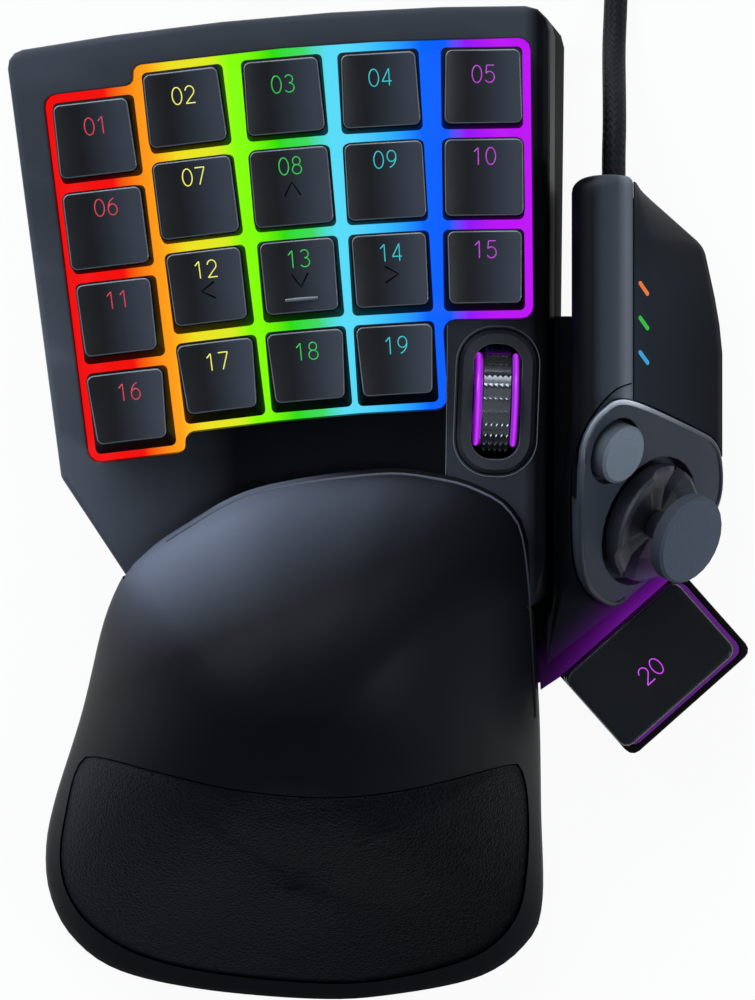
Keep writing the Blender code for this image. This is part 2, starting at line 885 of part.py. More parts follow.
def make_key(index, column, row, x, y, turn):
    """A hollow cap with a dished face, tapering sides and a stem that runs in its switch."""
    chains = key_face(row)
    count = len(chains[0])
    face = key_ring(chains, 0, 0)
    edge = key_ring(chains, key_edge / 2, key_edge)
    skirt = []
    half = key_size / 2
    low_y = min(y for _, y, _ in face)
    high_y = max(y for _, y, _ in face)
    for px, py, _ in face:
        nearer = chains[1] if py < (low_y + high_y) / 2 else chains[0]
        reach = max(x for x, _, _ in nearer)
        along = (py - low_y) / (high_y - low_y)
        skirt.append((px * half / reach, key_size * along - half, -key_skirt_drop))
    points = face + edge + skirt
    ring = len(face)
    faces = [(i, i + 1, ring - 2 - i, ring - 1 - i) for i in range(count - 1)]
    for level in range(2):
        for i in range(ring):
            j = (i + 1) % ring
            a, b = level * ring, (level + 1) * ring
            faces.append((a + i, a + j, b + j, b + i))
    faces.append(tuple(range(2 * ring, 3 * ring)))
    name = f"key_{index + 1:02d}"
    key = place(name, mesh_of(name, points, faces), cap_black, deck)
    key.location = (x, y, 0)
    key.rotation_euler = (0, 0, turn)
    inner = key_size - 2 * key_wall
    ceiling = key_height * min(key_height_shares[row]) - key_dish - key_wall
    shoulder = inner - 2 * key_wall
    hollow = loft(
        f"{name}_hollow",
        [
            at_height(box_outline(inner, inner), -overrun),
            at_height(box_outline(inner, inner), 0),
            at_height(box_outline(shoulder, shoulder), ceiling),
        ],
        parent=key,
    )
    stem_low = -(housing_depth + wall)
    stem = prism(f"{name}_stem", box_outline(key_stem, key_stem), stem_low, ceiling + gap, parent=key)
    cut(key, hollow)
    fuse(key, stem)
    if (column, row) == (homing_column, homing_row):
        y_low = chains[1][0][1] + key_corner + homing_bar_depth
        level = min(p[2] for p in chains[1])
        bar = prism(
            f"{name}_bar",
            box_outline(homing_bar_width, homing_bar_depth, centre=(0, y_low)),
            level - homing_bar_height,
            level + homing_bar_height,
            parent=key,
        )
        fuse(key, bar)


make_top_shell()
make_diffuser()
make_switches()
make_board()
for number, spot in enumerate(sorted(key_places(), key=lambda k: (k[1], k[0]))):
    make_key(number, *spot)


# Scroll wheel: a ring in the deck, a carriage that clicks down, a lit hub and a ribbed tyre
axle_depth = wheel_radius - wheel_rise
hub_radius = wheel_radius - tyre_thickness
flange_place = tyre_width / 2 + gap
cheek_place = flange_place + flange_width + gap
axle_reach = cheek_place + cheek_width
carriage_low = axle_depth + wheel_radius + carriage_foot_gap


def across(radius, sides, x, depth):
    """A ring of points round the wheel's axle, at a place along it."""
    return [(x, a, b - depth) for a, b in circle(radius, sides)]


def make_wheel_ring():
    outer = wheel_hole
    opening = box_outline(
        wheel_opening_width, wheel_opening_length, wheel_opening_corner, steps=wheel_arc_steps
    )
    under = wall + gap
    ring = loft(
        "wheel_ring",
        [
            at_height(inset(outer, -wheel_ring_flange), -under - wheel_ring_flange_depth),
            at_height(inset(outer, -wheel_ring_flange), -under),
            at_height(outer, -under),
            at_height(outer, 0),
            at_height(inset(outer, wheel_ring_rise), wheel_ring_rise),
        ],
        shell_black,
        wheel,
    )
    cut(ring, prism("wheel_ring_opening", opening, -overrun, overrun, parent=wheel))


def make_wheel_carriage():
    foot_top = -carriage_low
    foot_low = foot_top - carriage_foot_depth
    width = 2 * axle_reach
    carriage = prism(
        "wheel_carriage", box_outline(width, carriage_foot_length), foot_low, foot_top, base_black, wheel
    )
    for side, label in ((-1, "left"), (1, "right")):
        x = side * (cheek_place + cheek_width / 2)
        arch = [(a, b - axle_depth) for a, b in circle(cheek_radius, 16)[:9]]
        outline = arch + [(-cheek_radius, foot_low), (cheek_radius, foot_low)]
        half = cheek_width / 2
        cheek = loft(
            f"wheel_cheek_{label}",
            [[(x - half, a, b) for a, b in outline], [(x + half, a, b) for a, b in outline]],
            parent=wheel,
        )
        fuse(carriage, cheek)
    reach = axle_reach + overrun
    hole = loft(
        "wheel_axle_hole",
        [across(axle_radius + gap, 16, -reach, axle_depth), across(axle_radius + gap, 16, reach, axle_depth)],
        parent=wheel,
    )
    cut(carriage, hole)


def make_wheel():
    """The hub is one turned spool with its axle; the tyre is a ribbed band between its flanges."""
    inner, outer = flange_place, flange_place + flange_width
    hub = loft(
        "wheel_hub",
        [
            across(axle_radius, 20, -axle_reach, 0),
            across(axle_radius, 20, -outer, 0),
            across(flange_radius, 20, -outer, 0),
            across(flange_radius, 20, -inner, 0),
            across(hub_radius - gap, 20, -inner, 0),
            across(hub_radius - gap, 20, inner, 0),
            across(flange_radius, 20, inner, 0),
            across(flange_radius, 20, outer, 0),
            across(axle_radius, 20, outer, 0),
            across(axle_radius, 20, axle_reach, 0),
        ],
        violet_light,
        wheel,
    )
    hub.location = (0, 0, -axle_depth)
    ribs = []
    for rib in range(tyre_ribs):
        for share, radius in ((0.0, wheel_radius), (0.5, wheel_radius),
                              (0.56, wheel_radius - tyre_rib_height), (0.94, wheel_radius - tyre_rib_height)):
            angle = 2 * math.pi * (rib + share) / tyre_ribs
            ribs.append((radius * math.cos(angle), radius * math.sin(angle)))
    half = tyre_width / 2
    left = [(-half, a, b) for a, b in ribs]
    right = [(half, a, b) for a, b in ribs]
    tyre = loft("wheel_tyre", [left, right], tread, wheel)
    tyre.location = (0, 0, -axle_depth)
    bore = loft(
        "wheel_tyre_bore",
        [across(hub_radius, 20, -half - overrun, 0), across(hub_radius, 20, half + overrun, 0)],
        parent=tyre,
    )
    cut(tyre, bore)


# Thumb module
side_outline = rounded(
    [(side_left + side_width * x, side_front + side_length * y, side_corner * r)
     for x, y, r in side_corner_shares]
)
spine_seam = spine_left + spine_width
spine_lean = spine_width * spine_section_shares[0][0]
face_matrix = (
    Matrix.Translation((face_x, face_y, face_z))
    @ Matrix.Rotation(-face_turn, 4, "Z")
    @ Matrix.Rotation(face_tilt, 4, "Y")
)
face = frame("thumb_face", face_matrix)
face_normal = face_matrix.to_3x3() @ Vector((0, 0, 1))
face_outline = smooth_closed(
    [(face_x + face_half * x, face_y + face_half * y) for x, y in face_outline_shares], face_points
)


def face_level(x, y):
    """Height of the tilted face over a place on the floor."""
    return face_z - ((x - face_x) * face_normal.x + (y - face_y) * face_normal.y) / face_normal.z


def module_section(reach_share, height_share, narrow_share, thickness=0.0):
    """The spine and side cover in section at one place, as (x, z), counter-clockwise."""
    points = [(spine_seam - spine_width * (1 - x) * (1 - narrow_share), spine_top * z)
              for x, z in spine_section_shares]
    seam_height = points[-1][1]
    for x, z in cover_section_shares:
        points.append((spine_seam + cover_reach * reach_share * x,
                       seam_height - (seam_height - cover_shoulder) * z))
    low = side_height + gap
    points.append((points[-1][0], low))
    points[0] = (points[0][0], low)
    middle = (points[0][0] + points[-1][0]) / 2
    shrunk = [(middle + (x - middle) * height_share, low + (z - low) * height_share) for x, z in points]
    section = inset(list(reversed(shrunk)), thickness)
    if thickness:
        section = [(x, z if z > low + abs(thickness) * 1.5 else low - overrun) for x, z in section]
    return section


def module_loft(name, thickness=0.0, material=None):
    """The thumb module's outside, or the room inside it for a wall of some thickness."""
    loops = []
    for along, reach, height, narrow in module_station_shares:
        y = module_back - module_length * along
        if thickness > 0:
            y = min(y, module_back - spine_end_plate)
        if loops and y == loops[-1][0][1]:
            loops.pop()
        loops.append([(x, y, z) for x, z in module_section(reach, height, narrow, thickness)])
    if thickness > 0:
        loops[-1] = [(x, y - overrun, z) for x, y, z in loops[-1]]
    return loft(name, loops, material)


def face_loop(inward, drop, capped=True):
    outline = inset(face_outline, inward)
    loop = []
    for x, y in outline:
        level = face_level(x, y)
        loop.append((x, y, (min(level, face_cap_height) if capped else level) - drop))
    return loop


def face_clearance(name):
    """The room that the tilted face's body takes out of its neighbours."""
    return prism(name, inset(face_outline, -gap), 0, face_cap_height + overrun)


def slab(name, low, high):
    """A straight block between two corners, as a cutter."""
    outline = [(high[0], low[1]), (high[0], high[1]), (low[0], high[1]), (low[0], low[1])]
    return prism(name, outline, low[2], high[2])


def lamp_frames():
    """A frame on the side cover for each status lamp, its Z out of the cover."""
    seam_height = spine_section_shares[-1][1] * spine_top
    run_share, fall_share = cover_section_shares[0]
    slope = (seam_height - cover_shoulder) * fall_share / (cover_reach * run_share)
    tilt = math.atan(slope)
    frames = []
    for index in range(lamp_count):
        spot = (spine_seam + lamp_inset, lamp_back - lamp_spacing * index, seam_height - slope * lamp_inset)
        matrix = (
            Matrix.Translation(spot) @ Matrix.Rotation(tilt, 4, "Y") @ Matrix.Rotation(lamp_turn, 4, "Z")
        )
        frames.append(frame(f"lamp_{index + 1}", matrix))
    return frames


def make_spine():
    spine = module_loft("thumb_spine", material=shell_black)
    cut(spine, module_loft("thumb_spine_inside", wall))
    far = module_back + overrun
    plate = module_back - spine_end_plate
    cut(spine, slab("spine_seam_cut", (spine_seam - gap / 2, -far, 0), (far + spine_seam, plate, far)))
    cut(spine, face_clearance("spine_face_cut"))
    sides = 16
    start = lead_route[0]
    hole = [(start[0] + a, module_back + overrun, start[2] + b) for a, b in circle(gland_radius + gap, sides)]
    hole_end = [(x, plate - overrun, z) for x, y, z in hole]
    cut(spine, loft("gland_hole", [hole, hole_end]))


def make_cover(lamps):
    cover = module_loft("thumb_cover", material=shell_black)
    cut(cover, module_loft("thumb_cover_inside", wall))
    far = module_back + overrun
    plate = module_back - spine_end_plate
    cut(
        cover,
        slab("cover_seam_cut", (-far, -far, -overrun), (spine_seam + gap / 2, far, far)),
        slab("cover_end_cut", (-far, plate - gap, -overrun), (2 * far, far, far)),
        face_clearance("cover_face_cut"),
    )
    for index, lamp in enumerate(lamps):
        size = (lamp_length + 2 * gap, lamp_width + 2 * gap)
        outline = box_outline(*size, size[1] / 2)
        cut(cover, prism(f"lamp_hole_{index + 1}", outline, -overrun / 2, overrun / 2, parent=lamp))


def make_lamps(lamps):
    outline = box_outline(lamp_length, lamp_width, lamp_width / 2)
    for index, lamp in enumerate(lamps):
        lens = finish(f"lamp_{index + 1}", lamp_colours[index], 0.3, glow=1.0)
        prism(f"status_lamp_{index + 1}", outline, -wall, 0, lens, lamp)


def make_face():
    """The tilted body that carries the stick and the button, open in two round pockets."""
    low = side_height + gap
    body = loft(
        "thumb_bezel",
        [
            at_height(face_outline, low),
            face_loop(0, face_rim_drop * 1.5),
            face_loop(face_rim * 0.3, face_rim_drop * 0.5),
            face_loop(face_rim, 0),
            face_loop(face_rim * 3, 0, capped=False),
        ],
        soft_black,
    )
    button_spot = (button_down, button_along)
    cut(
        body,
        prism("button_pocket", circle(button_pocket_radius, 24, button_spot), -button_pocket_depth,
              overrun, parent=face),
        prism("pad_pocket", circle(pad_pocket_radius, 28), -pad_pocket_depth, overrun, parent=face),
        prism("gimbal_well", circle(gimbal_well_radius, 16), -gimbal_well_depth, overrun, parent=face),
        prism("gimbal_slot", box_outline(2 * (gimbal_pin_radius + gap), 2 * (gimbal_pin_reach + gap)),
              -stick_pivot_depth - gimbal_pin_radius - gap, overrun / 2, parent=face),
    )


def make_button():
    spot = (button_down, button_along)
    steps = ((1.0, -button_depth), (1.0, button_rise - button_crown), (0.9, button_rise - button_crown / 3),
             (0.6, button_rise))
    loft("thumb_button", [at_height(circle(button_radius * s, 24, spot), z) for s, z in steps],
         rubber_grey, face)
    low = -button_pocket_depth + gap
    high = low + button_switch_height
    outline = box_outline(button_switch_size, button_switch_size, centre=spot)
    switch = prism("thumb_button_switch", outline, low, high, switch_grey, face)
    plunger_top = -button_depth - button_travel - gap
    fuse(switch, prism("button_plunger", circle(button_plunger_radius, 12, spot), high - gap, plunger_top,
                       parent=face))


def pad_rise_at(angle):
    """Height of the pad's rim: two long lobes, with a lower stretch and a notch between them."""
    side = abs(math.cos(angle))
    lobe = min(max((side - 0.62) / 0.12, 0), 1)
    notch = max(1 - abs(side) * pad_radius / (pad_notch_width / 2), 0)
    return pad_rise * (0.62 + 0.38 * lobe) - pad_notch_depth * notch


def make_stick():
    """The lobed pad tilts with its cap on a gimbal ring that turns on the body's own bearings."""
    sides = 36
    rim = circle(1.0, sides)
    angles = [2 * math.pi * i / sides for i in range(sides)]
    stem_low = -stick_pivot_depth - stick_stem_radius

    def turned_loop(radius, heights):
        return [(a * radius, b * radius, z) for (a, b), z in zip(rim, heights)]

    def flat(radius, z):
        return turned_loop(radius, [z] * sides)

    rises = [pad_rise_at(a) for a in angles]
    pad = loft(
        "thumb_pad",
        [
            flat(stick_stem_radius, stem_low),
            flat(stick_stem_radius, pad_low - stick_stem_radius),
            flat(stick_neck_radius, pad_low),
            flat(pad_radius - pad_notch_depth, pad_low),
            flat(pad_radius, pad_low + pad_dish / 2),
            turned_loop(pad_radius, [z - pad_dish / 4 for z in rises]),
            turned_loop(pad_radius - pad_dish / 2, rises),
            turned_loop(pad_radius * 0.62, [z * 0.5 for z in rises]),
            flat(stick_neck_radius, pad_dish),
        ],
        cap_black,
        face,
    )
    pin_reach = (gimbal_radius + gimbal_bore) / 2
    pin = [(-pin_reach, a, b - stick_pivot_depth) for a, b in circle(gimbal_pin_radius, 12)]
    fuse(pad, loft("pad_pin", [pin, [(-x, y, z) for x, y, z in pin]], parent=face))
    cap_low = stick_cap_height - stick_cap_thickness
    steps = ((stick_neck_radius, pad_dish + gap), (stick_neck_radius, cap_low - stick_cap_crown),
             (stick_cap_radius - stick_cap_crown, cap_low), (stick_cap_radius, cap_low + stick_cap_crown / 2),
             (stick_cap_radius, stick_cap_height - stick_cap_crown),
             (stick_cap_radius * 0.94, stick_cap_height - stick_cap_crown / 3),
             (stick_cap_radius * 0.6, stick_cap_height))
    loft("stick_cap", [at_height(circle(r, 26), z) for r, z in steps], rubber_grey, face)
    half = gimbal_thickness / 2
    ring = prism("stick_gimbal", circle(gimbal_radius, 20), -stick_pivot_depth - half,
                 -stick_pivot_depth + half, switch_grey, face)
    cut(ring, prism("gimbal_bore", circle(gimbal_bore, 20), -overrun * 2, overrun, parent=face))
    hole = [(-overrun, a, b - stick_pivot_depth) for a, b in circle(gimbal_pin_radius + gap, 12)]
    cut(ring, loft("gimbal_hole", [hole, [(-x, y, z) for x, y, z in hole]], parent=face))
    for side, label in ((-1, "front"), (1, "back")):
        near = [(a, side * (gimbal_radius + gimbal_bore) / 2, b - stick_pivot_depth)
                for a, b in circle(gimbal_pin_radius, 12)]
        far = [(x, side * gimbal_pin_reach, z) for x, y, z in near]
        fuse(ring, loft(f"gimbal_pin_{label}", [near, far], parent=face))


def bar_loop(grow, height, shift=0.0):
    outline = box_outline(bar_length + 2 * grow, bar_width + 2 * grow, bar_corner, (shift, -shift))
    return at_height(turned(outline, bar_turn, (bar_x, bar_y)), height)


def bar_frame_loop(grow, height):
    """Round the key's frame, which shows beyond the key at its right end and its front."""
    return bar_loop(grow, height, bar_frame_shift)


def make_bar():
    """The thumb's space key over a lit ring, in a tray that the base carries."""
    low = bar_top - bar_thickness
    bar = loft(
        "thumb_key",
        [
            bar_loop(0, low),
            bar_loop(0, bar_top - bar_edge * 2),
            bar_loop(-bar_edge * 0.4, bar_top - bar_edge * 0.5),
            bar_loop(-bar_edge * 1.4, bar_top),
        ],
        cap_black,
    )
    stem = turned(box_outline(bar_stem_length, bar_stem_width), bar_turn, (bar_x, bar_y))
    fuse(bar, prism("bar_stem", stem, bar_stem_bottom, low + gap))
    floor = foot_height + floor_thickness + gap
    tray = loft(
        "thumb_key_frame",
        [
            bar_frame_loop(bar_frame_border, floor),
            bar_frame_loop(bar_frame_border, bar_frame_top - bar_edge / 2),
            bar_frame_loop(bar_frame_border - bar_edge / 2, bar_frame_top),
        ],
        base_black,
    )
    step = bar_frame_top - bar_frame_step
    recess = bar_frame_border - bar_frame_rim
    above = bar_frame_top + overrun
    cut(tray, loft("bar_recess", [bar_frame_loop(recess, step), bar_frame_loop(recess, above)]))
    slot = turned(box_outline(bar_stem_length + 2 * gap, bar_stem_width + 2 * gap), bar_turn, (bar_x, bar_y))
    cut(tray, prism("bar_slot", slot, 0, bar_top))
    lit_low = step + gap
    lit_high = lit_low + bar_light_height
    light = loft(
        "thumb_key_light",
        [bar_frame_loop(recess - gap, lit_low), bar_frame_loop(recess - gap, lit_high)],
        violet_light,
    )
    inner = recess - gap - bar_light_width
    cut(light, loft("bar_light_hole", [bar_frame_loop(inner, 0), bar_frame_loop(inner, bar_top)]))


def deck_clearance(name, distance):
    """The deck's box with room round it, to be cut out of what lies beside it."""
    outline = inset(top, -distance)
    return loft(
        name,
        [deck_loop(outline, deck_height + deck_length / 8), deck_loop(outline, -distance)],
        parent=deck,
    )


def make_apron():
    """The low cover between the deck, the palm rest, the thumb module and its space key."""
    inner = spine_left + spine_lean
    front = side_front
    corners = [(side_left + side_width * x, front + side_length * y) for x, y in apron_corner_shares]
    turn = side_left + side_width * apron_face_share
    plan = corners[:2] + [(turn, face_y), (inner, face_y), (inner, corners[2][1])] + corners[2:]
    low = side_height + gap
    fall = (apron_height - apron_low) / (apron_fall_start - front)

    def level(y):
        return apron_height - max(apron_fall_start - y, 0) * fall

    outer = loft("thumb_apron", [at_height(plan, low), [(x, y, level(y)) for x, y in plan]], base_black)
    cut(
        outer,
        face_clearance("apron_face_cut"),
        module_loft("apron_module_cut", -gap),
        deck_clearance("apron_deck_cut", gap),
    )


# Base: one tray under the deck and the thumb module, with the tongue for the palm rest
def shelf_loop(grow, height):
    """The shelf under the space key's frame reaches back into the tray."""
    spot = (bar_frame_shift, bar_shelf_reach / 2 - bar_frame_shift)
    outline = box_outline(bar_length + 2 * grow, bar_width + 2 * grow + bar_shelf_reach, bar_corner, spot)
    return at_height(turned(outline, bar_turn, (bar_x, bar_y)), height)


def make_base():
    bottom = inset(top, deck_foot_inset)
    parting = deck_shell_depth + gap
    base = loft(
        "base_shell",
        [
            deck_loop_at(bottom, foot_height),
            deck_loop_at(top, foot_height + deck_skirt_height),
            deck_loop(top, parting),
        ],
        base_black,
        deck,
    )
    side = loft(
        "base_side",
        [
            at_height(inset(side_outline, side_foot_inset), foot_height),
            at_height(side_outline, foot_height + deck_skirt_height),
            at_height(side_outline, side_height),
        ],
    )
    shelf = loft(
        "base_shelf",
        [
            shelf_loop(bar_frame_border - side_foot_inset, foot_height + gap),
            shelf_loop(bar_frame_border, foot_height + side_foot_inset),
            shelf_loop(bar_frame_border, foot_height + floor_thickness),
        ],
    )
    tongue = slab(
        "base_tongue",
        (tongue_centre - tongue_width / 2, tongue_front, tongue_bottom),
        (tongue_centre + tongue_width / 2, deck_front + 2 * wall, tongue_bottom + tongue_thickness),
    )
    fuse(base, side, shelf, tongue)
    floor = foot_height + floor_thickness
    inner = inset(top, wall)
    cut(
        base,
        loft("base_deck_room", [deck_loop_at(inner, floor), deck_loop(inner, parting - overrun)], parent=deck),
        prism("base_side_room", inset(side_outline, wall), floor, side_height + overrun),
    )
    board_low = switch_leg_depth + gap + board_thickness + gap
    for index, (x, y) in enumerate(deck_post_shares):
        spot = deck_place(x, y)
        outline = circle(post_radius, 10, spot)
        low = [(a, b, -deck_height - b * math.sin(deck_tilt) + foot_height + wall / 2) for a, b in outline]
        fuse(base, loft(f"deck_post_{index + 1}", [low, at_height(outline, -board_low)], parent=deck))
    width = 2 * (axle_reach + gap + wall)
    length = carriage_foot_length + 2 * (gap + wall)
    tower = prism("wheel_tower", box_outline(width, length), -tower_bottom_depth, -tower_depth, parent=wheel)
    fuse(base, tower)
    room_low = -(carriage_low + carriage_foot_depth + 2 * wheel_click)
    cut(base, prism("wheel_tower_room", box_outline(width - 2 * wall, length - 2 * wall), room_low, overrun,
                    parent=wheel))
    for index, (x, y) in enumerate(thumb_board_posts()):
        outline = circle(post_radius, 10, (x, y))
        fuse(base, prism(f"thumb_post_{index + 1}", outline, foot_height + wall / 2, thumb_board_low - gap))
    for index, (x, y) in enumerate(foot_spots()):
        foot = circle(foot_radius, 24, (x, y))
        prism(f"base_foot_{index + 1}", foot, 0, foot_height - gap, rubber_black)


thumb_board_low = foot_height + floor_thickness + wall
thumb_board_centre = (thumb_board_left + thumb_board_width / 2, thumb_board_back - thumb_board_length / 2)


def thumb_board_posts():
    """A post near each corner of the board."""
    x, y = thumb_board_centre
    across_board = thumb_board_width / 2 - post_radius
    along_board = thumb_board_length / 2 - post_radius
    return [(x + side * across_board, y + end * along_board) for side in (-1, 1) for end in (-1, 1)]


def make_thumb_board():
    outline = box_outline(thumb_board_width, thumb_board_length, board_thickness, thumb_board_centre)
    prism("thumb_board", outline, thumb_board_low, thumb_board_low + board_thickness, board_green)


def foot_spots():
    spots = [deck_place(x, y) for x, y in deck_foot_shares]
    spots += [(side_left + side_width * x, side_front + side_length * y) for x, y in side_foot_shares]
    return spots + [(bar_x, bar_y)]


# Palm rest: a domed shell on a tray that slides on the base's tongue, with a cushion let into it
palm_outline = smooth_closed(
    [(palm_left + palm_width * x, palm_front + palm_length * y) for x, y in palm_outline_shares], palm_points
)
pad_outline = smooth_closed(
    [(palm_left + palm_width * x, palm_front + palm_length * y) for x, y in pad_outline_shares], pad_points
)
palm_hub = (palm_left + palm_width * palm_hub_shares[0], palm_front + palm_length * palm_hub_shares[1])
pad_hub = (palm_left + palm_width * pad_hub_shares[0], palm_front + palm_length * pad_hub_shares[1])


def along_palm(y, shares):
    """A height read from a table of shares of the palm rest's length and top height."""
    place_share = (y - palm_front) / palm_length
    return palm_top * float(np.interp(place_share, [s for s, _ in shares], [h for _, h in shares]))


def palm_share(x, y):
    """How far a place lies from the palm rest's hub, as a share of the way to its outline."""
    dx, dy = x - palm_hub[0], y - palm_hub[1]
    best = 0.0
    for index, (ax, ay) in enumerate(palm_outline):
        bx, by = palm_outline[index - 1]
        ax, ay, bx, by = ax - palm_hub[0], ay - palm_hub[1], bx - palm_hub[0], by - palm_hub[1]
        ex, ey = bx - ax, by - ay
        area = ax * ey - ay * ex
        share = (dx * ey - dy * ex) / area
        best = max(best, share)
    return best


def palm_height(x, y, share=None):
    share = palm_share(x, y) if share is None else share
    power, bend = palm_dome_powers
    rim = along_palm(y, palm_rim_shares)
    dome = max(1 - min(share, 1.0) ** power, 0) ** bend
    return rim + (along_palm(y, palm_ridge_shares) - rim) * dome


def toward(outline, hub, share):
    return [(hub[0] + (x - hub[0]) * share, hub[1] + (y - hub[1]) * share) for x, y in outline]


def palm_loops(inward, low):
    outline = inset(palm_outline, inward)
    bottom = inset(palm_outline, inward + palm_bottom_inset)
    loops = [at_height(bottom, low)]
    for share in palm_loop_shares:
        loop = []
        for (x, y), (ox, oy) in zip(toward(outline, palm_hub, share), toward(palm_outline, palm_hub, share)):
            loop.append((x, y, palm_height(ox, oy, share) - inward))
        loops.append(loop)
    return loops


def make_palm_shell():
    shell = loft("palm_shell", palm_loops(0, palm_bottom), soft_black)
    cut(shell, loft("palm_inside", palm_loops(palm_wall, palm_bottom - overrun)))
    edge = inset(pad_outline, -gap)
    recess = []
    for share in pad_floor_shares:
        recess.append([(x, y, palm_height(x, y) - pad_inset_depth) for x, y in toward(edge, pad_hub, share)])
    recess.append(at_height(edge, palm_top + overrun))
    cut(shell, loft("pad_recess", recess, folded=True), deck_clearance("palm_deck_cut", palm_deck_gap))


def make_palm_pad():
    """A cushion with a crowned top and drawn-in sides."""
    loops = []
    rise = pad_seat_gap - pad_inset_depth
    for share in pad_floor_shares:
        loops.append([(x, y, palm_height(x, y) + rise) for x, y in toward(pad_outline, pad_hub, share)])
    for share in pad_top_shares:
        loop = []
        for x, y in toward(pad_outline, pad_hub, share):
            crown = pad_crown * (1 - share**4) - pad_edge_drop * share**16
            loop.append((x, y, palm_height(x, y) + crown))
        loops.append(loop)
    loft("palm_pad", loops, leatherette, folded=True)


def make_palm_tray():
    outline = inset(palm_outline, palm_wall + palm_bottom_inset + gap)
    tray = prism("palm_tray", outline, palm_bottom, palm_bottom + tray_thickness, base_black)
    far = deck_width
    cut(tray, slab("tray_back_cut", (-far, tray_back, -overrun), (far, far, 2 * overrun)))
    low = palm_bottom + tray_thickness / 2
    high = tongue_bottom + tongue_thickness + gap + rail_thickness
    for side, label in ((-1, "left"), (1, "right")):
        inner = tongue_centre + side * (tongue_width / 2 + gap)
        outer = inner + side * rail_thickness
        lip = inner - side * rail_lip
        front = tongue_front
        back = tray_back
        post = slab(f"rail_{label}", (min(inner, outer), front, low), (max(inner, outer), back, high))
        hook = slab(f"rail_lip_{label}", (min(lip, outer), front, high - rail_thickness),
                    (max(lip, outer), back, high))
        fuse(tray, post, hook)
    for index, (x, y) in enumerate(palm_foot_shares):
        spot = (palm_left + palm_width * x, palm_front + palm_length * y)
        outline = box_outline(palm_foot_length, palm_foot_width, palm_foot_width / 2, spot)
        prism(f"palm_foot_{index + 1}", outline, 0, palm_bottom - gap, rubber_black)


# Lead: out of the gland to the floor and back to a coil, a tie round its turns, and the plug
def tube(name, points, diameter, resolution, material):
    curve = bpy.data.curves.new(name, "CURVE")
    curve.dimensions = "3D"
    curve.bevel_depth = diameter / 2
    curve.bevel_resolution = resolution
    curve.use_fill_caps = True
    curve.twist_mode = "MINIMUM"
    spline = curve.splines.new("POLY")
    spline.points.add(len(points) - 1)
    for point, spot in zip(spline.points, points):
        point.co = (*spot, 1)
    return place(name, curve, material)


lead_radius = lead_diameter / 2
coil_step = lead_diameter + coil_gap
coil_middle = coil_middle_diameters * lead_radius
coil_outer = coil_middle + coil_step * coil_layer_turns / 2
coil_inner = coil_outer - coil_step * coil_layer_turns
tie_clearance = 2 * gap
coil_low = tie_thickness + tie_clearance + lead_radius
coil_high = coil_low + coil_step * (coil_layers - 1)
coil_start = lead_route[-1]
coil_centre = (coil_start[0] - coil_outer, coil_start[1] + gap + lead_diameter)


def eased(share):
    share = min(max(share, 0), 1)
    return share * share * (3 - 2 * share)


def path_length(points):
    return float(np.linalg.norm(np.diff(np.array(points), axis=0), axis=1).sum())


def round_coil(angle, radius, height):
    return (coil_centre[0] + radius * math.cos(angle), coil_centre[1] + radius * math.sin(angle), height)


def coil_points(run_length):
    """Layers of loops that spiral in and out, then a tail that comes down outside them to the plug."""
    per_layer = round(coil_layer_turns * coil_loop_points)
    climb = coil_loop_points / 2
    points = [(coil_start[0], coil_start[1] + gap, coil_low)]
    last = coil_layers * per_layer
    for step in range(last + 1):
        layer, along = divmod(step, per_layer)
        inward = along if layer % 2 == 0 else per_layer - along
        level = sum(min(max((step - per_layer * k) / climb + 0.5, 0), 1) for k in range(1, coil_layers))
        radius = coil_outer - coil_step * inward / coil_loop_points
        points.append(round_coil(2 * math.pi * step / coil_loop_points, radius, coil_low + coil_step * level))
    half_turn = coil_loop_points // 2
    for step in range(1, half_turn + 1):
        out = coil_step * coil_tail_share * eased(2 * step / half_turn)
        drop = (coil_high - plug_height / 2) * eased((step - 1) / (half_turn - 2))
        angle = 2 * math.pi * (last + step) / coil_loop_points
        points.append(round_coil(angle, coil_outer + out, coil_high - drop))
    x, y, z = points[-1]
    rest = lead_length - run_length - path_length(points) - gap
    points.append((x, y - rest, z))
    print(f"straight length at the plug {rest * 1000:.1f} mm, at least {lead_diameter * 1000:.1f} mm is needed")
    return points


def least_gap(points):
    """The least gap between stretches of the coil that lie more than a quarter turn apart."""
    places = np.array(points)
    apart = coil_loop_points // 4
    least = math.inf
    for index in range(len(places) - apart):
        distance = np.linalg.norm(places[index + apart:] - places[index], axis=1).min()
        least = min(least, float(distance))
    return least - lead_diameter


def make_gland():
    """A turned collar: its flange sits behind the spine's end plate, with a flat beside the cover."""
    x, _, z = lead_route[0]
    plate = module_back - spine_end_plate - gap
    rings = ((gland_flange_radius, plate - gland_flange_thickness), (gland_flange_radius, plate),
             (gland_radius, plate), (gland_radius, module_back + gland_reach))
    loops = [[(x + a, y, z + b) for a, b in circle(radius, 16)] for radius, y in rings]
    gland = loft("cable_gland", loops, rubber_black)
    corner = (spine_seam + 2 * gland_flange_radius, plate + gap / 2, 2 * z)
    cut(gland, slab("gland_flat", (spine_seam - gap, plate - 2 * gland_flange_thickness, 0), corner))


def make_lead():
    """Returns the coil's points, whose last one meets the plug."""
    run = smooth_open(lead_route, lead_points)
    tube("cable_run", run, lead_diameter, 2, braid)
    points = coil_points(path_length(run))
    print(f"least gap of the coil to itself {least_gap(points) * 1000:.2f} mm")
    tube("cable_coil", points, lead_diameter, 1, braid)
    return points


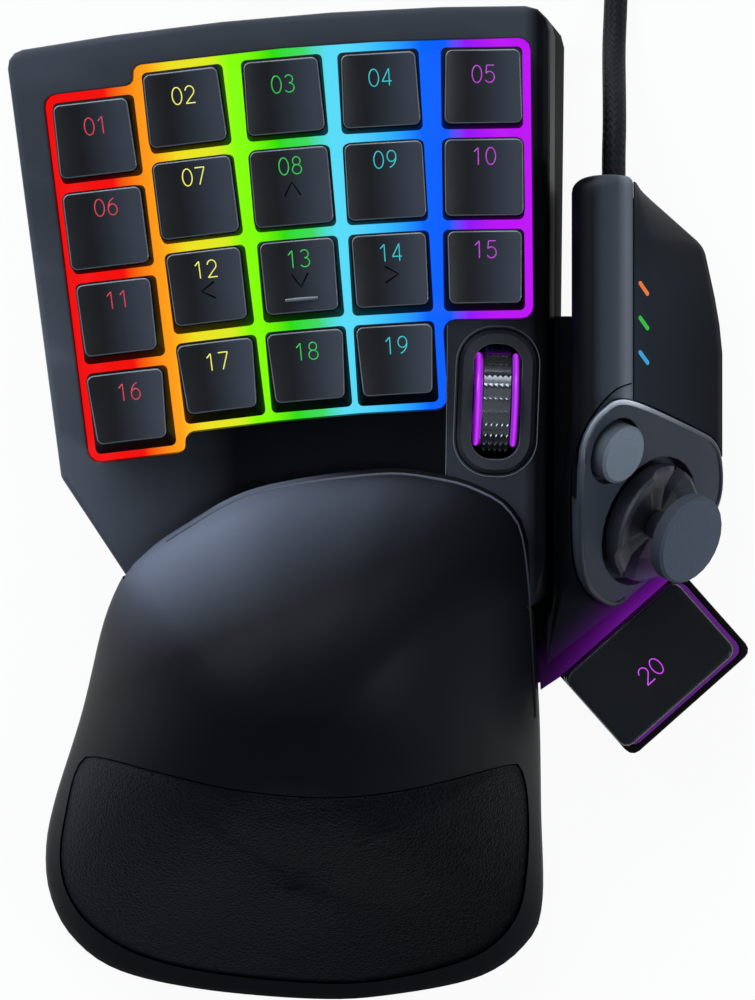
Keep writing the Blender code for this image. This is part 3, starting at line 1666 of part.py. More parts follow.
def make_tie():
    """A strap round the whole bundle of turns."""
    room = lead_radius + tie_clearance
    width = coil_outer - coil_inner + 2 * room
    height = coil_high - coil_low + 2 * room
    spot = round_coil(tie_angle, (coil_outer + coil_inner) / 2, (coil_low + coil_high) / 2)
    upright = Matrix.Rotation(tie_angle, 4, "Z") @ Matrix.Rotation(math.radians(90), 4, "X")
    strap = frame("tie", Matrix.Translation(spot) @ upright)
    outer = box_outline(width + 2 * tie_thickness, height + 2 * tie_thickness, tie_corner)
    inner = box_outline(width, height, tie_corner - tie_thickness)
    tie = prism("coil_tie", outer, -tie_width / 2, tie_width / 2, rubber_black, strap)
    cut(tie, prism("tie_room", inner, -overrun, overrun, parent=strap))


def make_plug(end):
    """A moulded grip, and a folded metal shell with its tongue, pointing to the front."""
    x, y, z = end
    back = y - gap
    front = back - plug_length
    upright = Matrix.Translation((x, front, z)) @ Matrix.Rotation(math.radians(90), 4, "X")
    nose = frame("plug_nose", upright)
    small = (plug_width - plug_corner, plug_height - plug_corner / 2)
    steps = ((small, plug_corner / 2, -plug_length), ((plug_width, plug_height), plug_corner, -plug_length * 0.9),
             ((plug_width, plug_height), plug_corner, -plug_corner), (small, plug_corner / 2, 0))
    loft("plug_body", [at_height(box_outline(*size, radius), place_z) for size, radius, place_z in steps],
         rubber_black, nose)
    tip = gap + plug_shell_length
    shell = prism("plug_shell", box_outline(plug_shell_width, plug_shell_height), gap, tip, plug_metal, nose)
    room = box_outline(plug_shell_width - 2 * plug_shell_wall, plug_shell_height - 2 * plug_shell_wall)
    floor = gap + plug_shell_wall
    cut(shell, prism("plug_shell_room", room, floor, tip + overrun, parent=nose))
    tongue = box_outline(plug_tongue_width, plug_tongue_thickness,
                         centre=(0, (plug_tongue_thickness - plug_shell_height) / 2 + plug_shell_wall + gap))
    fuse(shell, prism("plug_tongue", tongue, floor - gap / 2, tip - plug_shell_wall, parent=nose))


make_wheel_ring()
make_wheel_carriage()
make_wheel()
lamps = lamp_frames()
make_spine()
make_cover(lamps)
make_lamps(lamps)
make_face()
make_button()
make_stick()
make_bar()
make_apron()
make_thumb_board()
make_base()
make_palm_shell()
make_palm_pad()
make_palm_tray()
make_gland()
make_plug(make_lead()[-1])
make_tie()
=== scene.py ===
import math

import bmesh
import bpy
import numpy as np
from mathutils import Matrix, Vector
from mathutils.bvhtree import BVHTree


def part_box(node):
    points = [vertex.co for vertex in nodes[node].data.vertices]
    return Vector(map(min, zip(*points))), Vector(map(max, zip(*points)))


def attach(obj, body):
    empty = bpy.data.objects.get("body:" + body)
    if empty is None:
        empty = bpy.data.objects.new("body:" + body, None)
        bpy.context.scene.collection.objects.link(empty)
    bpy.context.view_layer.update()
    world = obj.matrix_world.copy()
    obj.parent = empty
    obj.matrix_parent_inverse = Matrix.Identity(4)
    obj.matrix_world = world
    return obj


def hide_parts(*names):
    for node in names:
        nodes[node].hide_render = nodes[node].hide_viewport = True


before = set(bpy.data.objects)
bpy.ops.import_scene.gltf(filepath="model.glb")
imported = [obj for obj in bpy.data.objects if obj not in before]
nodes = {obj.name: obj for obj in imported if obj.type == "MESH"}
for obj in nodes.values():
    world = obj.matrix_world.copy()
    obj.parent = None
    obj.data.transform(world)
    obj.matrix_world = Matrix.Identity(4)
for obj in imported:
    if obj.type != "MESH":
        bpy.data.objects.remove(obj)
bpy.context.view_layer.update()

# The desk and the studio. A plain white desk top lies under the keypad, and the picture is
# taken from straight above. Large soft lamps stand on the left and behind, with a smaller one
# above on the left and one on the right, in a pale room.
middle = Vector((-0.0010, 0.0021, 0.0))
camera_height, desk_half, desk_cover = 0.9, 9.0, 0.94
lamp_tint = (0.84, 0.91, 1.0)
camera_data = bpy.data.cameras.new("camera")
camera_data.lens = 154.5
camera_data.sensor_width = 36
camera = bpy.data.objects.new("camera", camera_data)
camera.location = middle + Vector((0, 0, camera_height))
bpy.context.scene.collection.objects.link(camera)
bpy.context.scene.camera = camera
bpy.context.scene.view_settings.view_transform = "Standard"


class Wire:
    """A socket of a material, so that its sums are written as sums."""

    def __init__(self, socket):
        self.socket = socket

    def node(self, kind, settings=None, sockets=None, output=0):
        tree = self.socket.id_data
        made = tree.nodes.new(kind)
        for name, value in (settings or {}).items():
            setattr(made, name, value)
        for name, value in (sockets or {}).items():
            if isinstance(value, Wire):
                tree.links.new(value.socket, made.inputs[name])
            else:
                made.inputs[name].default_value = value
        return Wire(made.outputs[output])

    def sum(self, operation, first, second=0.0):
        return self.node("ShaderNodeMath", {"operation": operation}, {0: first, 1: second})

    def __add__(self, other):
        return self.sum("ADD", self, other)

    __radd__ = __add__

    def __sub__(self, other):
        return self.sum("SUBTRACT", self, other)

    def __rsub__(self, other):
        return self.sum("SUBTRACT", other, self)

    def __mul__(self, other):
        return self.sum("MULTIPLY", self, other)

    __rmul__ = __mul__

    def __truediv__(self, other):
        return self.sum("DIVIDE", self, other)

    def __pow__(self, other):
        return self.sum("POWER", self, other)

    def __gt__(self, other):
        return self.sum("GREATER_THAN", self, other)

    def __lt__(self, other):
        return self.sum("LESS_THAN", self, other)

    def sin(self):
        return self.sum("SINE", self)

    def __abs__(self):
        return self.sum("ABSOLUTE", self)

    def part(self, axis):
        return self.node("ShaderNodeSeparateXYZ", None, {0: self}, "XYZ".index(axis))

    def between(self, low, high):
        sockets = {"Value": self, "From Min": low, "From Max": high}
        return self.node("ShaderNodeMapRange", {"clamp": True}, sockets)

    def ramp(self, *stops):
        """A run of colours along this value. The stops at 0 and 1 come first."""
        made = self.node("ShaderNodeValToRGB", None, {0: self})
        elements = made.socket.node.color_ramp.elements
        for index, (at, colour) in enumerate(stops):
            stop = elements[index] if index < 2 else elements.new(at)
            stop.position = at
            stop.color = (*colour, 1)
        return made

    def facing(self, way):
        """How far the surface faces a direction, from -1 to 1."""
        normal = self.node("ShaderNodeNewGeometry", None, None, 1)
        return normal.node("ShaderNodeVectorMath", {"operation": "DOT_PRODUCT"}, {0: normal, 1: way}, 1)

    def colours(self, first, second):
        """The two colours mixed, this value saying how much of the second."""
        sockets = {0: self}
        for name, colour in ((6, first), (7, second)):
            sockets[name] = colour if isinstance(colour, Wire) else (*colour, 1)
        return self.node("ShaderNodeMix", {"data_type": "RGBA"}, sockets, 2)

    def grain(self, scale, detail=2.0, roughness=0.5):
        sockets = {"Vector": self, "Scale": scale, "Detail": detail, "Roughness": roughness}
        return self.node("ShaderNodeTexNoise", None, sockets)

    def bump(self, distance, strength=1.0, normal=None):
        sockets = {"Height": self, "Distance": distance, "Strength": strength}
        if normal:
            sockets["Normal"] = normal
        return self.node("ShaderNodeBump", None, sockets)

    def rounded(self, radius):
        return self.node("ShaderNodeBevel", {"samples": 4}, {"Radius": radius})


def new_finish(name, **constants):
    """A material, its shader and the object's own coordinates."""
    material = bpy.data.materials.new(name)
    material.use_nodes = True
    shader = material.node_tree.nodes["Principled BSDF"]
    for socket, value in constants.items():
        shader.inputs[socket.replace("_", " ")].default_value = value
    place = material.node_tree.nodes.new("ShaderNodeTexCoord").outputs["Object"]
    return material, shader, Wire(place)


def feed(shader, **wires):
    for socket, wire in wires.items():
        shader.id_data.links.new(wire.socket, shader.inputs[socket.replace("_", " ")])


desk_white, desk_shader, _ = new_finish("desk_white", Base_Color=(0.8, 0.8, 0.8, 1), Roughness=0.9)
seen = Wire(desk_white.node_tree.nodes.new("ShaderNodeLightPath").outputs["Is Camera Ray"])
rays = seen.socket.node.outputs
seen = seen.sum("MAXIMUM", seen, Wire(rays["Is Glossy Ray"]))
seen = seen.sum("MAXIMUM", seen, Wire(rays["Is Transmission Ray"])) * desk_cover
white = seen.node("ShaderNodeEmission", None, {"Color": (1, 1, 1, 1), "Strength": 1.0})
both = seen.node("ShaderNodeMixShader", None, {0: seen, 1: Wire(desk_shader.outputs[0]), 2: white})
desk_end = desk_white.node_tree.nodes["Material Output"]
desk_white.node_tree.links.new(both.socket, desk_end.inputs["Surface"])

desk_mesh = bpy.data.meshes.new("desk_top")
desk_spots = [(desk_half * x, desk_half * y, 0) for x, y in ((-1, -1), (1, -1), (1, 1), (-1, 1))]
desk_mesh.from_pydata(desk_spots, [], [(0, 1, 2, 3)])
desk = bpy.data.objects.new("desk_top", desk_mesh)
desk_mesh.materials.append(desk_white)
bpy.context.scene.collection.objects.link(desk)

world = bpy.data.worlds.new("room")
world.use_nodes = True
room = world.node_tree.nodes["Background"]
room.inputs["Color"].default_value = (0.80, 0.89, 1.0, 1)
room.inputs["Strength"].default_value = 0.2
bpy.context.scene.world = world

for lamp_name, lamp_spot, lamp_size, lamp_power in (
    ("lamp_left", (-0.75, 0.60, 0.38), 0.90, 5.0),
    ("lamp_back", (-0.25, 0.90, 0.50), 0.70, 8.0),
    ("lamp_above", (-0.62, 0.50, 0.75), 0.30, 2.5),
    ("lamp_right", (0.76, -0.22, 0.70), 0.30, 4.0),
):
    lamp_data = bpy.data.lights.new(lamp_name, "AREA")
    lamp_data.size = lamp_size
    lamp_data.energy = lamp_power
    lamp_data.color = lamp_tint
    studio_lamp = bpy.data.objects.new(lamp_name, lamp_data)
    studio_lamp.location = lamp_spot
    studio_lamp.rotation_euler = (-Vector(lamp_spot)).to_track_quat("-Z", "Y").to_euler()
    bpy.context.scene.collection.objects.link(studio_lamp)

# The lead. A braided sleeve over a round cable leaves the back of the spine, falls to the
# desk and runs back. The rest of its 2.1 m is wound in a coil, with the plug beside it.
lead_length = 2.1
lead_diameter = 0.0049
part_gap = 0.0003
lead_route = [
    (0.0486, 0.0662, 0.0172),
    (0.0486, 0.0712, 0.0172),
    (0.0488, 0.0765, 0.0160),
    (0.0490, 0.0830, 0.0122),
    (0.0492, 0.0895, 0.0072),
    (0.0494, 0.0950, 0.0038),
    (0.0497, 0.1010, 0.0027),
    (0.0500, 0.1090, 0.0027),
    (0.0503, 0.1180, 0.0029),
    (0.0505, 0.1280, 0.0032),
    (0.0506, 0.1380, 0.0037),
    (0.0506, 0.1480, 0.0042),
    (0.0506, 0.1560, 0.00425),
    (0.0506, 0.1640, 0.00425),
]
coil_turns, coil_layers, coil_loop_points = 2.75, 4, 24
coil_gap, coil_middle_diameters, tie_thickness, tail_share = 0.0006, 11.0, 0.0012, 1.2
coil_step = lead_diameter + coil_gap
coil_outer = coil_middle_diameters * lead_diameter / 2 + coil_step * coil_turns / 2
coil_low = tie_thickness + 2 * part_gap + lead_diameter / 2
coil_high = coil_low + coil_step * (coil_layers - 1)
coil_centre = (lead_route[-1][0] - coil_outer, lead_route[-1][1] + part_gap + lead_diameter)
plug_height = 0.0080


def evenly(line, count):
    line = np.array(line)
    along = np.concatenate([[0], np.cumsum(np.linalg.norm(np.diff(line, axis=0), axis=1))])
    wanted = np.linspace(0, along[-1], count)
    return [tuple(float(np.interp(w, along, line[:, k])) for k in range(line.shape[1])) for w in wanted]


def smooth(points, closed=False, parts=24):
    """Points along a curve through the given ones."""
    points = np.array(points, float)
    if closed:
        padded = np.vstack([points[-1], points, points[0], points[1]])
    else:
        padded = np.vstack([2 * points[0] - points[1], points, 2 * points[-1] - points[-2]])
    line = []
    for i in range(1, len(padded) - 2):
        p0, p1, p2, p3 = padded[i - 1:i + 3]
        for t in np.linspace(0, 1, parts, endpoint=False):
            line.append(0.5 * (2 * p1 + (p2 - p0) * t + (2 * p0 - 5 * p1 + 4 * p2 - p3) * t**2
                               + (3 * p1 - p0 - 3 * p2 + p3) * t**3))
    return line if closed else line + [points[-1]]


def path_length(points):
    return float(np.linalg.norm(np.diff(np.array(points), axis=0), axis=1).sum())


def eased(share):
    share = min(max(share, 0), 1)
    return share * share * (3 - 2 * share)


def on_coil(step, radius, height):
    angle = 2 * math.pi * step / coil_loop_points
    return (coil_centre[0] + radius * math.cos(angle), coil_centre[1] + radius * math.sin(angle), height)


lead_run = evenly(smooth(lead_route), 32)
per_layer = round(coil_turns * coil_loop_points)
last = coil_layers * per_layer
winding = [(lead_route[-1][0], lead_route[-1][1] + part_gap, coil_low)]
for step in range(last + 1):
    layer, inward = divmod(step, per_layer)
    inward = inward if layer % 2 == 0 else per_layer - inward
    level = sum(min(max((step - per_layer * k) / (coil_loop_points / 2) + 0.5, 0), 1)
                for k in range(1, coil_layers))
    radius = coil_outer - coil_step * inward / coil_loop_points
    winding.append(on_coil(step, radius, coil_low + coil_step * level))
for step in range(1, coil_loop_points // 2 + 1):
    out = coil_step * tail_share * eased(4 * step / coil_loop_points)
    drop = (coil_high - plug_height / 2) * eased((step - 1) / (coil_loop_points / 2 - 2))
    winding.append(on_coil(last + step, coil_outer + out, coil_high - drop))
tail_x, tail_y, tail_z = winding[-1]
tail = lead_length - path_length(lead_run) - path_length(winding) - part_gap
winding.append((tail_x, tail_y - tail, tail_z))

lead_curve = bpy.data.curves.new("lead", "CURVE")
lead_curve.dimensions = "3D"
lead_curve.bevel_depth = lead_diameter / 2
lead_curve.bevel_resolution = 4
lead_curve.use_fill_caps = True
lead_line = [Vector(p) + middle for p in lead_run + smooth(winding, parts=2)]
lead_spline = lead_curve.splines.new("POLY")
lead_spline.points.add(len(lead_line) - 1)
for point, spot in zip(lead_spline.points, lead_line):
    point.co = (*spot, 1)
lead = bpy.data.objects.new("lead", lead_curve)
bpy.context.scene.collection.objects.link(lead)

braid, braid_shader, _ = new_finish("braid", Roughness=0.62, Specular_IOR_Level=0.25)
sleeve = Wire(braid.node_tree.nodes.new("ShaderNodeTexCoord").outputs["UV"])
strands, twist = 12, 1150
right_hand = sleeve.part("Y") * strands + sleeve.part("X") * twist
left_hand = sleeve.part("Y") * strands - sleeve.part("X") * twist
over = (right_hand * math.pi).sin() * (left_hand * math.pi).sin() > 0
thread = over * abs((right_hand * math.pi).sin()) + (1 - over) * abs((left_hand * math.pi).sin())
feed(braid_shader, Base_Color=thread.colours((0.0012, 0.0012, 0.0016), (0.006, 0.0065, 0.008)),
     Normal=thread.bump(0.00015, 0.6))
lead_curve.materials.append(braid)

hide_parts("cable_run", "cable_coil")
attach(lead, "base")


# The casings. The top shell is moulded in charcoal plastic with a fine grit. Its colour carries
# painted light at its left and back and painted shade in front. The base under it is the same plastic,
# painted a little darker as painted shade.
def moulded(name, dark, light, roughness, depth, edge=0.0004, spark=0.3):
    """Textured plastic with softened edges, painted a little lighter towards one side as painted light."""
    material, shader, place = new_finish(name, Specular_IOR_Level=spark)
    grit = place.grain(4200, 1.0)
    cloud = place.grain(26, 3.0)
    side = place.part("X").between(-0.08, 0.08)
    feed(
        shader,
        Base_Color=(side * 0.6 + cloud * 0.4).colours(dark, light),
        Roughness=grit * 0.12 + cloud * 0.08 + (roughness - 0.10),
        Normal=grit.bump(depth, 0.5, place.rounded(edge)),
    )
    return material


smooth_faces = bpy.data.node_groups.new("smooth_faces", "GeometryNodeTree")
for way in ("INPUT", "OUTPUT"):
    smooth_faces.interface.new_socket("Geometry", in_out=way, socket_type="NodeSocketGeometry")
smooth_in = smooth_faces.nodes.new("NodeGroupInput")
smooth_set = smooth_faces.nodes.new("GeometryNodeSetShadeSmooth")
smooth_out = smooth_faces.nodes.new("NodeGroupOutput")
smooth_faces.links.new(smooth_in.outputs[0], smooth_set.inputs["Geometry"])
smooth_faces.links.new(smooth_set.outputs[0], smooth_out.inputs[0])


def rounded_off(piece, angle=32.0):
    """Shades a piece as curved, apart from edges sharper than the angle."""
    weld = piece.modifiers.new("weld", "WELD")
    weld.merge_threshold = 0.000002
    piece.modifiers.new("smooth", "NODES").node_group = smooth_faces
    split = piece.modifiers.new("sharp_edges", "EDGE_SPLIT")
    split.split_angle = math.radians(angle)
    even = piece.modifiers.new("even", "WEIGHTED_NORMAL")
    even.keep_sharp = True


def dress(names, material, angle=32.0):
    """Gives CAD nodes their finish and smooth curves."""
    for name in names.split():
        node = nodes[name]
        node.data.materials.clear()
        node.data.materials.append(material)
        rounded_off(node, angle)


deck_black, deck_shader, deck_place = new_finish("deck_black", Specular_IOR_Level=0.06)
deck_grit = deck_place.grain(4200, 1.0)
deck_cloud = deck_place.grain(26, 3.0)
# Painted light and shade: the deck is painted lighter at its left, along its back and on the wheel panel
# right of the seam, and near black as painted shade in front between the keys and the palm rest and along its
# right edge.
leftward = deck_place.part("X").between(-0.030, -0.070)
frontward = deck_place.part("Y").between(0.060, 0.032)
panel = (deck_place.part("X") > 0.0131) * frontward
inward = deck_place.part("X").between(0.0312, 0.0285)
deck_painted_light = (leftward * (0.55 + frontward * 0.45)
        + ((1 - frontward) * (1 - leftward) * 0.45 + panel * 0.40) * inward)
feed(deck_shader,
     Base_Color=(deck_painted_light + deck_cloud * 0.05).colours((0.0012, 0.0014, 0.0020), (0.096, 0.107, 0.130)),
     Roughness=deck_grit * 0.12 + deck_cloud * 0.08 + 0.36,
     Normal=deck_grit.bump(0.00004, 0.5, deck_place.rounded(0.0005)))
# Painted shade: the base is painted darker than the top shell. Like the switches and the rubber parts, it is
# also painted a little lighter at its left as painted light.
base_black = moulded("base_black", (0.0035, 0.0038, 0.005), (0.0015, 0.0016, 0.0022), 0.60, 0.00004,
                     spark=0.01)
dress("top_shell", deck_black)
dress("base_shell wheel_carriage palm_tray", base_black)

# The light well. A frosted sheet under the keys is lit from the board below, in bands that
# run from red at the left to violet at the right along the fanned columns.
glow, glow_shader, glow_place = new_finish("well_glow", Base_Color=(0.01, 0.01, 0.01, 1), Roughness=0.7,
                                           Emission_Strength=1.0)
column_left = (0.0690 - glow_place.part("Y")) * 0.1243 - 0.0664
column = (glow_place.part("X") - column_left) / (0.0308 - column_left)
bands = column.ramp(
    (0.00, (0.88, 0.004, 0.004)), (1.00, (0.52, 0.008, 0.92)), (0.12, (0.90, 0.006, 0.004)),
    (0.18, (1.00, 0.28, 0.008)), (0.21, (1.00, 0.36, 0.010)), (0.26, (0.88, 0.74, 0.018)),
    (0.34, (0.72, 0.84, 0.02)), (0.38, (0.24, 1.00, 0.002)), (0.41, (0.22, 1.00, 0.002)),
    (0.47, (0.03, 0.72, 0.004)), (0.53, (0.05, 0.70, 0.12)), (0.58, (0.10, 0.72, 0.95)),
    (0.62, (0.10, 0.70, 0.95)), (0.70, (0.03, 0.45, 1.00)), (0.77, (0.002, 0.13, 1.00)),
    (0.82, (0.004, 0.11, 1.00)), (0.86, (0.28, 0.01, 0.92)), (0.92, (0.50, 0.008, 0.92)),
)
feed(glow_shader, Emission_Color=bands)
dress("light_diffuser", glow)

# Painted light: the switches are painted a little lighter at their left.
switch_grey = moulded("switch_grey", (0.10, 0.10, 0.11), (0.07, 0.07, 0.08), 0.45, 0.00002, 0.0002)
dress("switch_bank thumb_button_switch stick_gimbal", switch_grey)

board, board_shader, board_place = new_finish("board", Roughness=0.35, Coat_Weight=0.4)
tracks = board_place.node("ShaderNodeTexBrick", {"offset": 0.5}, {
    "Vector": board_place, "Scale": 260.0, "Color1": (0.010, 0.050, 0.030, 1),
    "Color2": (0.012, 0.060, 0.034, 1), "Mortar": (0.030, 0.120, 0.060, 1), "Mortar Size": 0.03})
feed(board_shader, Base_Color=tracks)
dress("main_board thumb_board", board)

# The finger keys. Nineteen hollow caps of smooth charcoal plastic stand in five fanned columns
# on the sloping deck. Each row has its own face: dished across, with a soft edge and sides that
# spread down to the skirt. One key has a raised bar for the finger to find.
deck_left, deck_front, deck_width, deck_length = -0.0750, -0.0220, 0.1096, 0.1218
deck_height, deck_tilt = 0.0295, math.radians(5.0)
deck_frame = Matrix.Translation(middle + Vector((0, 0, deck_height))) @ Matrix.Rotation(deck_tilt, 4, "X")
key_size, key_pitch, key_height, key_skirt = 0.0164, 0.0183, 0.0098, 0.0006
key_corner, key_dish, key_edge, key_wall, key_stem = 0.0011, 0.0010, 0.00045, 0.0012, 0.0040
key_column_shares = [(0.1706, 0.7791), (0.3339, 0.8292), (0.5137, 0.8473), (0.6889, 0.8580), (0.8759, 0.8637)]
key_column_turns = [math.radians(a) for a in (6.8, 7.0, 5.0, 3.4, 0.8)]
key_column_rows = [4, 4, 4, 4, 3]
key_face_shares = [(0.872, 0.915, 0.860, 0.055), (0.921, 0.927, 0.900, 0.020), (0.878, 0.850, 0.850, 0.020),
                   (0.909, 0.815, 0.815, 0.020)]
key_height_shares = [(1.10, 0.98), (1.02, 0.96), (0.96, 0.96), (0.92, 1.00)]
key_stem_low = -0.0036
homing_key, homing_reach, homing_forward, homing_stroke = (2, 2), 0.0033, 0.0037, 0.0009


def outline_of(corners, radius, arc=6, side=6):
    """A closed outline through its corners, each rounded off, with points along its sides."""
    corners = [Vector(c) for c in corners]
    arcs = []
    for index, here in enumerate(corners):
        back = (corners[index - 1] - here).normalized()
        ahead = (corners[(index + 1) % len(corners)] - here).normalized()
        half = back.angle(ahead) / 2
        start, end = here + back * radius / math.tan(half), here + ahead * radius / math.tan(half)
        centre = here + (back + ahead).normalized() * radius / math.sin(half)
        sweep = (start - centre).angle_signed(end - centre)
        points = []
        for step in range(arc + 1):
            spoke = start - centre
            spoke.rotate(Matrix.Rotation(-sweep * step / arc, 2))
            points.append(centre + spoke)
        arcs.append(points)
    outline = []
    for index, points in enumerate(arcs):
        after = arcs[(index + 1) % len(arcs)][0]
        outline += points + [points[-1].lerp(after, step / side) for step in range(1, side)]
    return outline


def box_of(x, y):
    """The corners of a box about its middle."""
    return [(x, -y), (x, y), (-x, y), (-x, -y)]


def skin_of(name, rings, finish, closed_ends=True):
    """A piece whose surface runs through closed rings of points, one after the other."""
    count = len(rings[0])
    corners = [tuple(p) for ring in rings for p in ring]
    faces = []
    for level in range(len(rings) - 1):
        for i in range(count):
            a, b = level * count + i, level * count + (i + 1) % count
            faces.append((a, b, b + count, a + count))
    if closed_ends:
        faces += [tuple(reversed(range(count))), tuple(range(len(corners) - count, len(corners)))]
    mesh = bpy.data.meshes.new(name)
    mesh.from_pydata(corners, [], faces)
    mesh.materials.append(finish)
    mesh.polygons.foreach_set("use_smooth", [True] * len(mesh.polygons))
    made = bpy.data.objects.new(name, mesh)
    bpy.context.scene.collection.objects.link(made)
    return made


def join(piece, *others):
    """Makes the other pieces' surfaces part of this one."""
    mesh = bmesh.new()
    mesh.from_mesh(piece.data)
    for other in others:
        mesh.from_mesh(other.data)
        bpy.data.objects.remove(other)
    mesh.to_mesh(piece.data)
    mesh.free()


def key_cap(name, row, finish, rim_finish, side_finish):
    """One cap, from the rim of its hollow up round the skirt to the middle of the dished face."""
    back_width, front_width, depth, margin = key_face_shares[row]
    back_height, front_height = (share * key_height for share in key_height_shares[row])
    half = key_size / 2
    y_back = half - key_size * margin
    y_front = y_back - key_size * depth
    widths = (key_size * front_width / 2, key_size * back_width / 2)

    def on_face(point, lift):
        along = min(max((point.y - y_front) / (y_back - y_front), 0), 1)
        side = widths[0] + (widths[1] - widths[0]) * along
        across = min(abs(point.x) / side, 1)
        level = front_height + (back_height - front_height) * along
        return (point.x, point.y, level - key_dish * (1 - across * across) - lift)

    def face_ring(grow, lift, share=1.0):
        low, high = y_front - grow, y_back + grow
        trapezium = [(widths[0] + grow, low), (widths[1] + grow, high), (-widths[1] - grow, high),
                     (-widths[0] - grow, low)]
        centre = Vector((0, (low + high) / 2))
        ring = outline_of(trapezium, key_corner + grow)
        return [on_face(centre + (p - centre) * share, lift) for p in ring]

    def square_ring(size, height, radius=key_corner):
        return [(*p, height) for p in outline_of(box_of(size, size), radius)]

    room = half - key_wall
    ceiling = min(back_height, front_height) - key_dish - key_wall
    rings = [
        square_ring(room - key_wall, ceiling, key_edge),
        square_ring(room, 0.0, key_edge),
        square_ring(room, -key_skirt, key_edge),
        square_ring(half, -key_skirt),
        square_ring(half, key_skirt / 2),
        face_ring(key_edge * 1.2, key_height * 0.16),
        face_ring(key_edge * 0.9, key_edge),
        face_ring(key_edge * 0.55, key_edge * 0.42),
        face_ring(key_edge * 0.28, key_edge * 0.14),
        face_ring(0.0, 0.0),
    ]
    rim_levels = (len(rings) - 3, len(rings) - 2)
    side_levels = (0, rim_levels[0] - 1)
    rings += [face_ring(-key_edge * 0.4, 0.0, share) for share in (1.0, 0.95, 0.85, 0.7, 0.5, 0.3, 0.1)]
    cap = skin_of(name, rings, finish)
    around = len(rings[0])
    # The rim rings take the painted highlight, and the rings from the hollow to the skirt take the painted
    # shade.
    for slot, (first, last), coat in ((1, rim_levels, rim_finish), (2, side_levels, side_finish)):
        cap.data.materials.append(coat)
        for face in cap.data.polygons[first * around:(last + 1) * around]:
            face.material_index = slot
    post = [square_ring(key_stem / 2, z, key_edge) for z in (key_stem_low, ceiling + key_wall / 2)]
    join(cap, skin_of(name + "_stem", post, finish))
    return cap


def plain_gloss(name, dark, light, roughness, spark=0.5):
    """Smooth moulded plastic with a faint grit and a slight cloud in its tone."""
    material, shader, place = new_finish(name, Specular_IOR_Level=spark)
    cloud = place.grain(120, 3.0)
    grit = place.grain(5200, 1.0)
    feed(shader, Base_Color=cloud.colours(dark, light), Normal=grit.bump(0.00001, 0.4),
         Roughness=cloud * 0.10 + grit * 0.06 + (roughness - 0.08))
    return material


cap_black, cap_shader, cap_place = new_finish("cap_black")
cap_cloud = cap_place.grain(120, 3.0)
cap_grit = cap_place.grain(5200, 1.0)
# Painted reflection: each cap is painted dark at its left and lighter towards its right, for the light its
# dished face reflects.
cap_painted_reflection = (cap_place.part("X") / key_size + 0.42).between(0.25, 0.80) * (0.85 + cap_cloud * 0.3)
feed(cap_shader, Base_Color=cap_painted_reflection.colours((0.0030, 0.0036, 0.0050), (0.040, 0.048, 0.064)),
     Roughness=cap_cloud * 0.08 + cap_grit * 0.05 + 0.28, Normal=cap_grit.bump(0.00001, 0.4))
# Painted highlight: the caps' rounded rims and the homing bar are painted light grey, for the light they
# catch.
cap_rim_highlight = plain_gloss("cap_rim_highlight", (0.110, 0.120, 0.140), (0.150, 0.163, 0.190), 0.24)
# Painted shade: the caps' sides, skirts and hollows are painted near black.
cap_side_shade = plain_gloss("cap_side_shade", (0.0015, 0.0016, 0.0020), (0.0025, 0.0026, 0.0030), 0.60, spark=0.1)
digit_shapes = {
    "0": [("ring", 0.5, 0.5, 0.5, 0.5, 90, 450)],
    "1": [("line", 0.12, 0.76, 0.55, 1.0), ("line", 0.55, 1.0, 0.55, 0.0)],
    "2": [("ring", 0.5, 0.70, 0.46, 0.30, 170, -30), ("line", 0.90, 0.55, 0.02, 0.0),
          ("line", 0.02, 0.0, 1.0, 0.0)],
    "3": [("ring", 0.46, 0.76, 0.42, 0.24, 150, -90), ("ring", 0.46, 0.27, 0.50, 0.27, 90, -150)],
    "4": [("line", 0.74, 0.0, 0.74, 1.0), ("line", 0.74, 1.0, 0.0, 0.26), ("line", 0.0, 0.26, 1.0, 0.26)],
    "5": [("line", 0.92, 1.0, 0.16, 1.0), ("line", 0.16, 1.0, 0.08, 0.54),
          ("ring", 0.46, 0.32, 0.50, 0.32, 135, -150)],
    "6": [("ring", 0.5, 0.32, 0.46, 0.32, 0, 360), ("ring", 0.96, 0.36, 0.92, 0.64, 180, 105)],
    "7": [("line", 0.0, 1.0, 1.0, 1.0), ("line", 1.0, 1.0, 0.36, 0.0)],
    "8": [("ring", 0.5, 0.76, 0.40, 0.24, -90, 270), ("ring", 0.5, 0.27, 0.48, 0.27, 90, 450)],
    "9": [("ring", 0.5, 0.68, 0.46, 0.32, 0, 360), ("ring", 0.04, 0.64, 0.92, 0.64, 0, -75)],
}


def lit(name, colour):
    """A clear window or lens, lit from behind, a little uneven."""
    base = (*(c * 0.3 for c in colour), 1)
    material, shader, place = new_finish(name, Base_Color=base, Roughness=0.35, Emission_Strength=1.0)
    deep = [c * 0.88 for c in colour]
    bright = [min(c * 1.08, 1) for c in colour]
    feed(shader, Emission_Color=place.grain(900, 2.0).between(0.2, 0.8).colours(deep, bright))
    return material


def digit_lines(digit):
    """The strokes of a digit in a square of one by one."""
    lines = []
    for kind, *numbers in digit_shapes[digit]:
        if kind == "line":
            ax, ay, bx, by = numbers
            lines.append([(ax + (bx - ax) * k / 6, ay + (by - ay) * k / 6) for k in range(7)])
        else:
            x, y, reach_x, reach_y, start, end = numbers
            angles = [math.radians(start + (end - start) * k / 22) for k in range(23)]
            lines.append([(x + reach_x * math.cos(a), y + reach_y * math.sin(a)) for a in angles])
    return lines


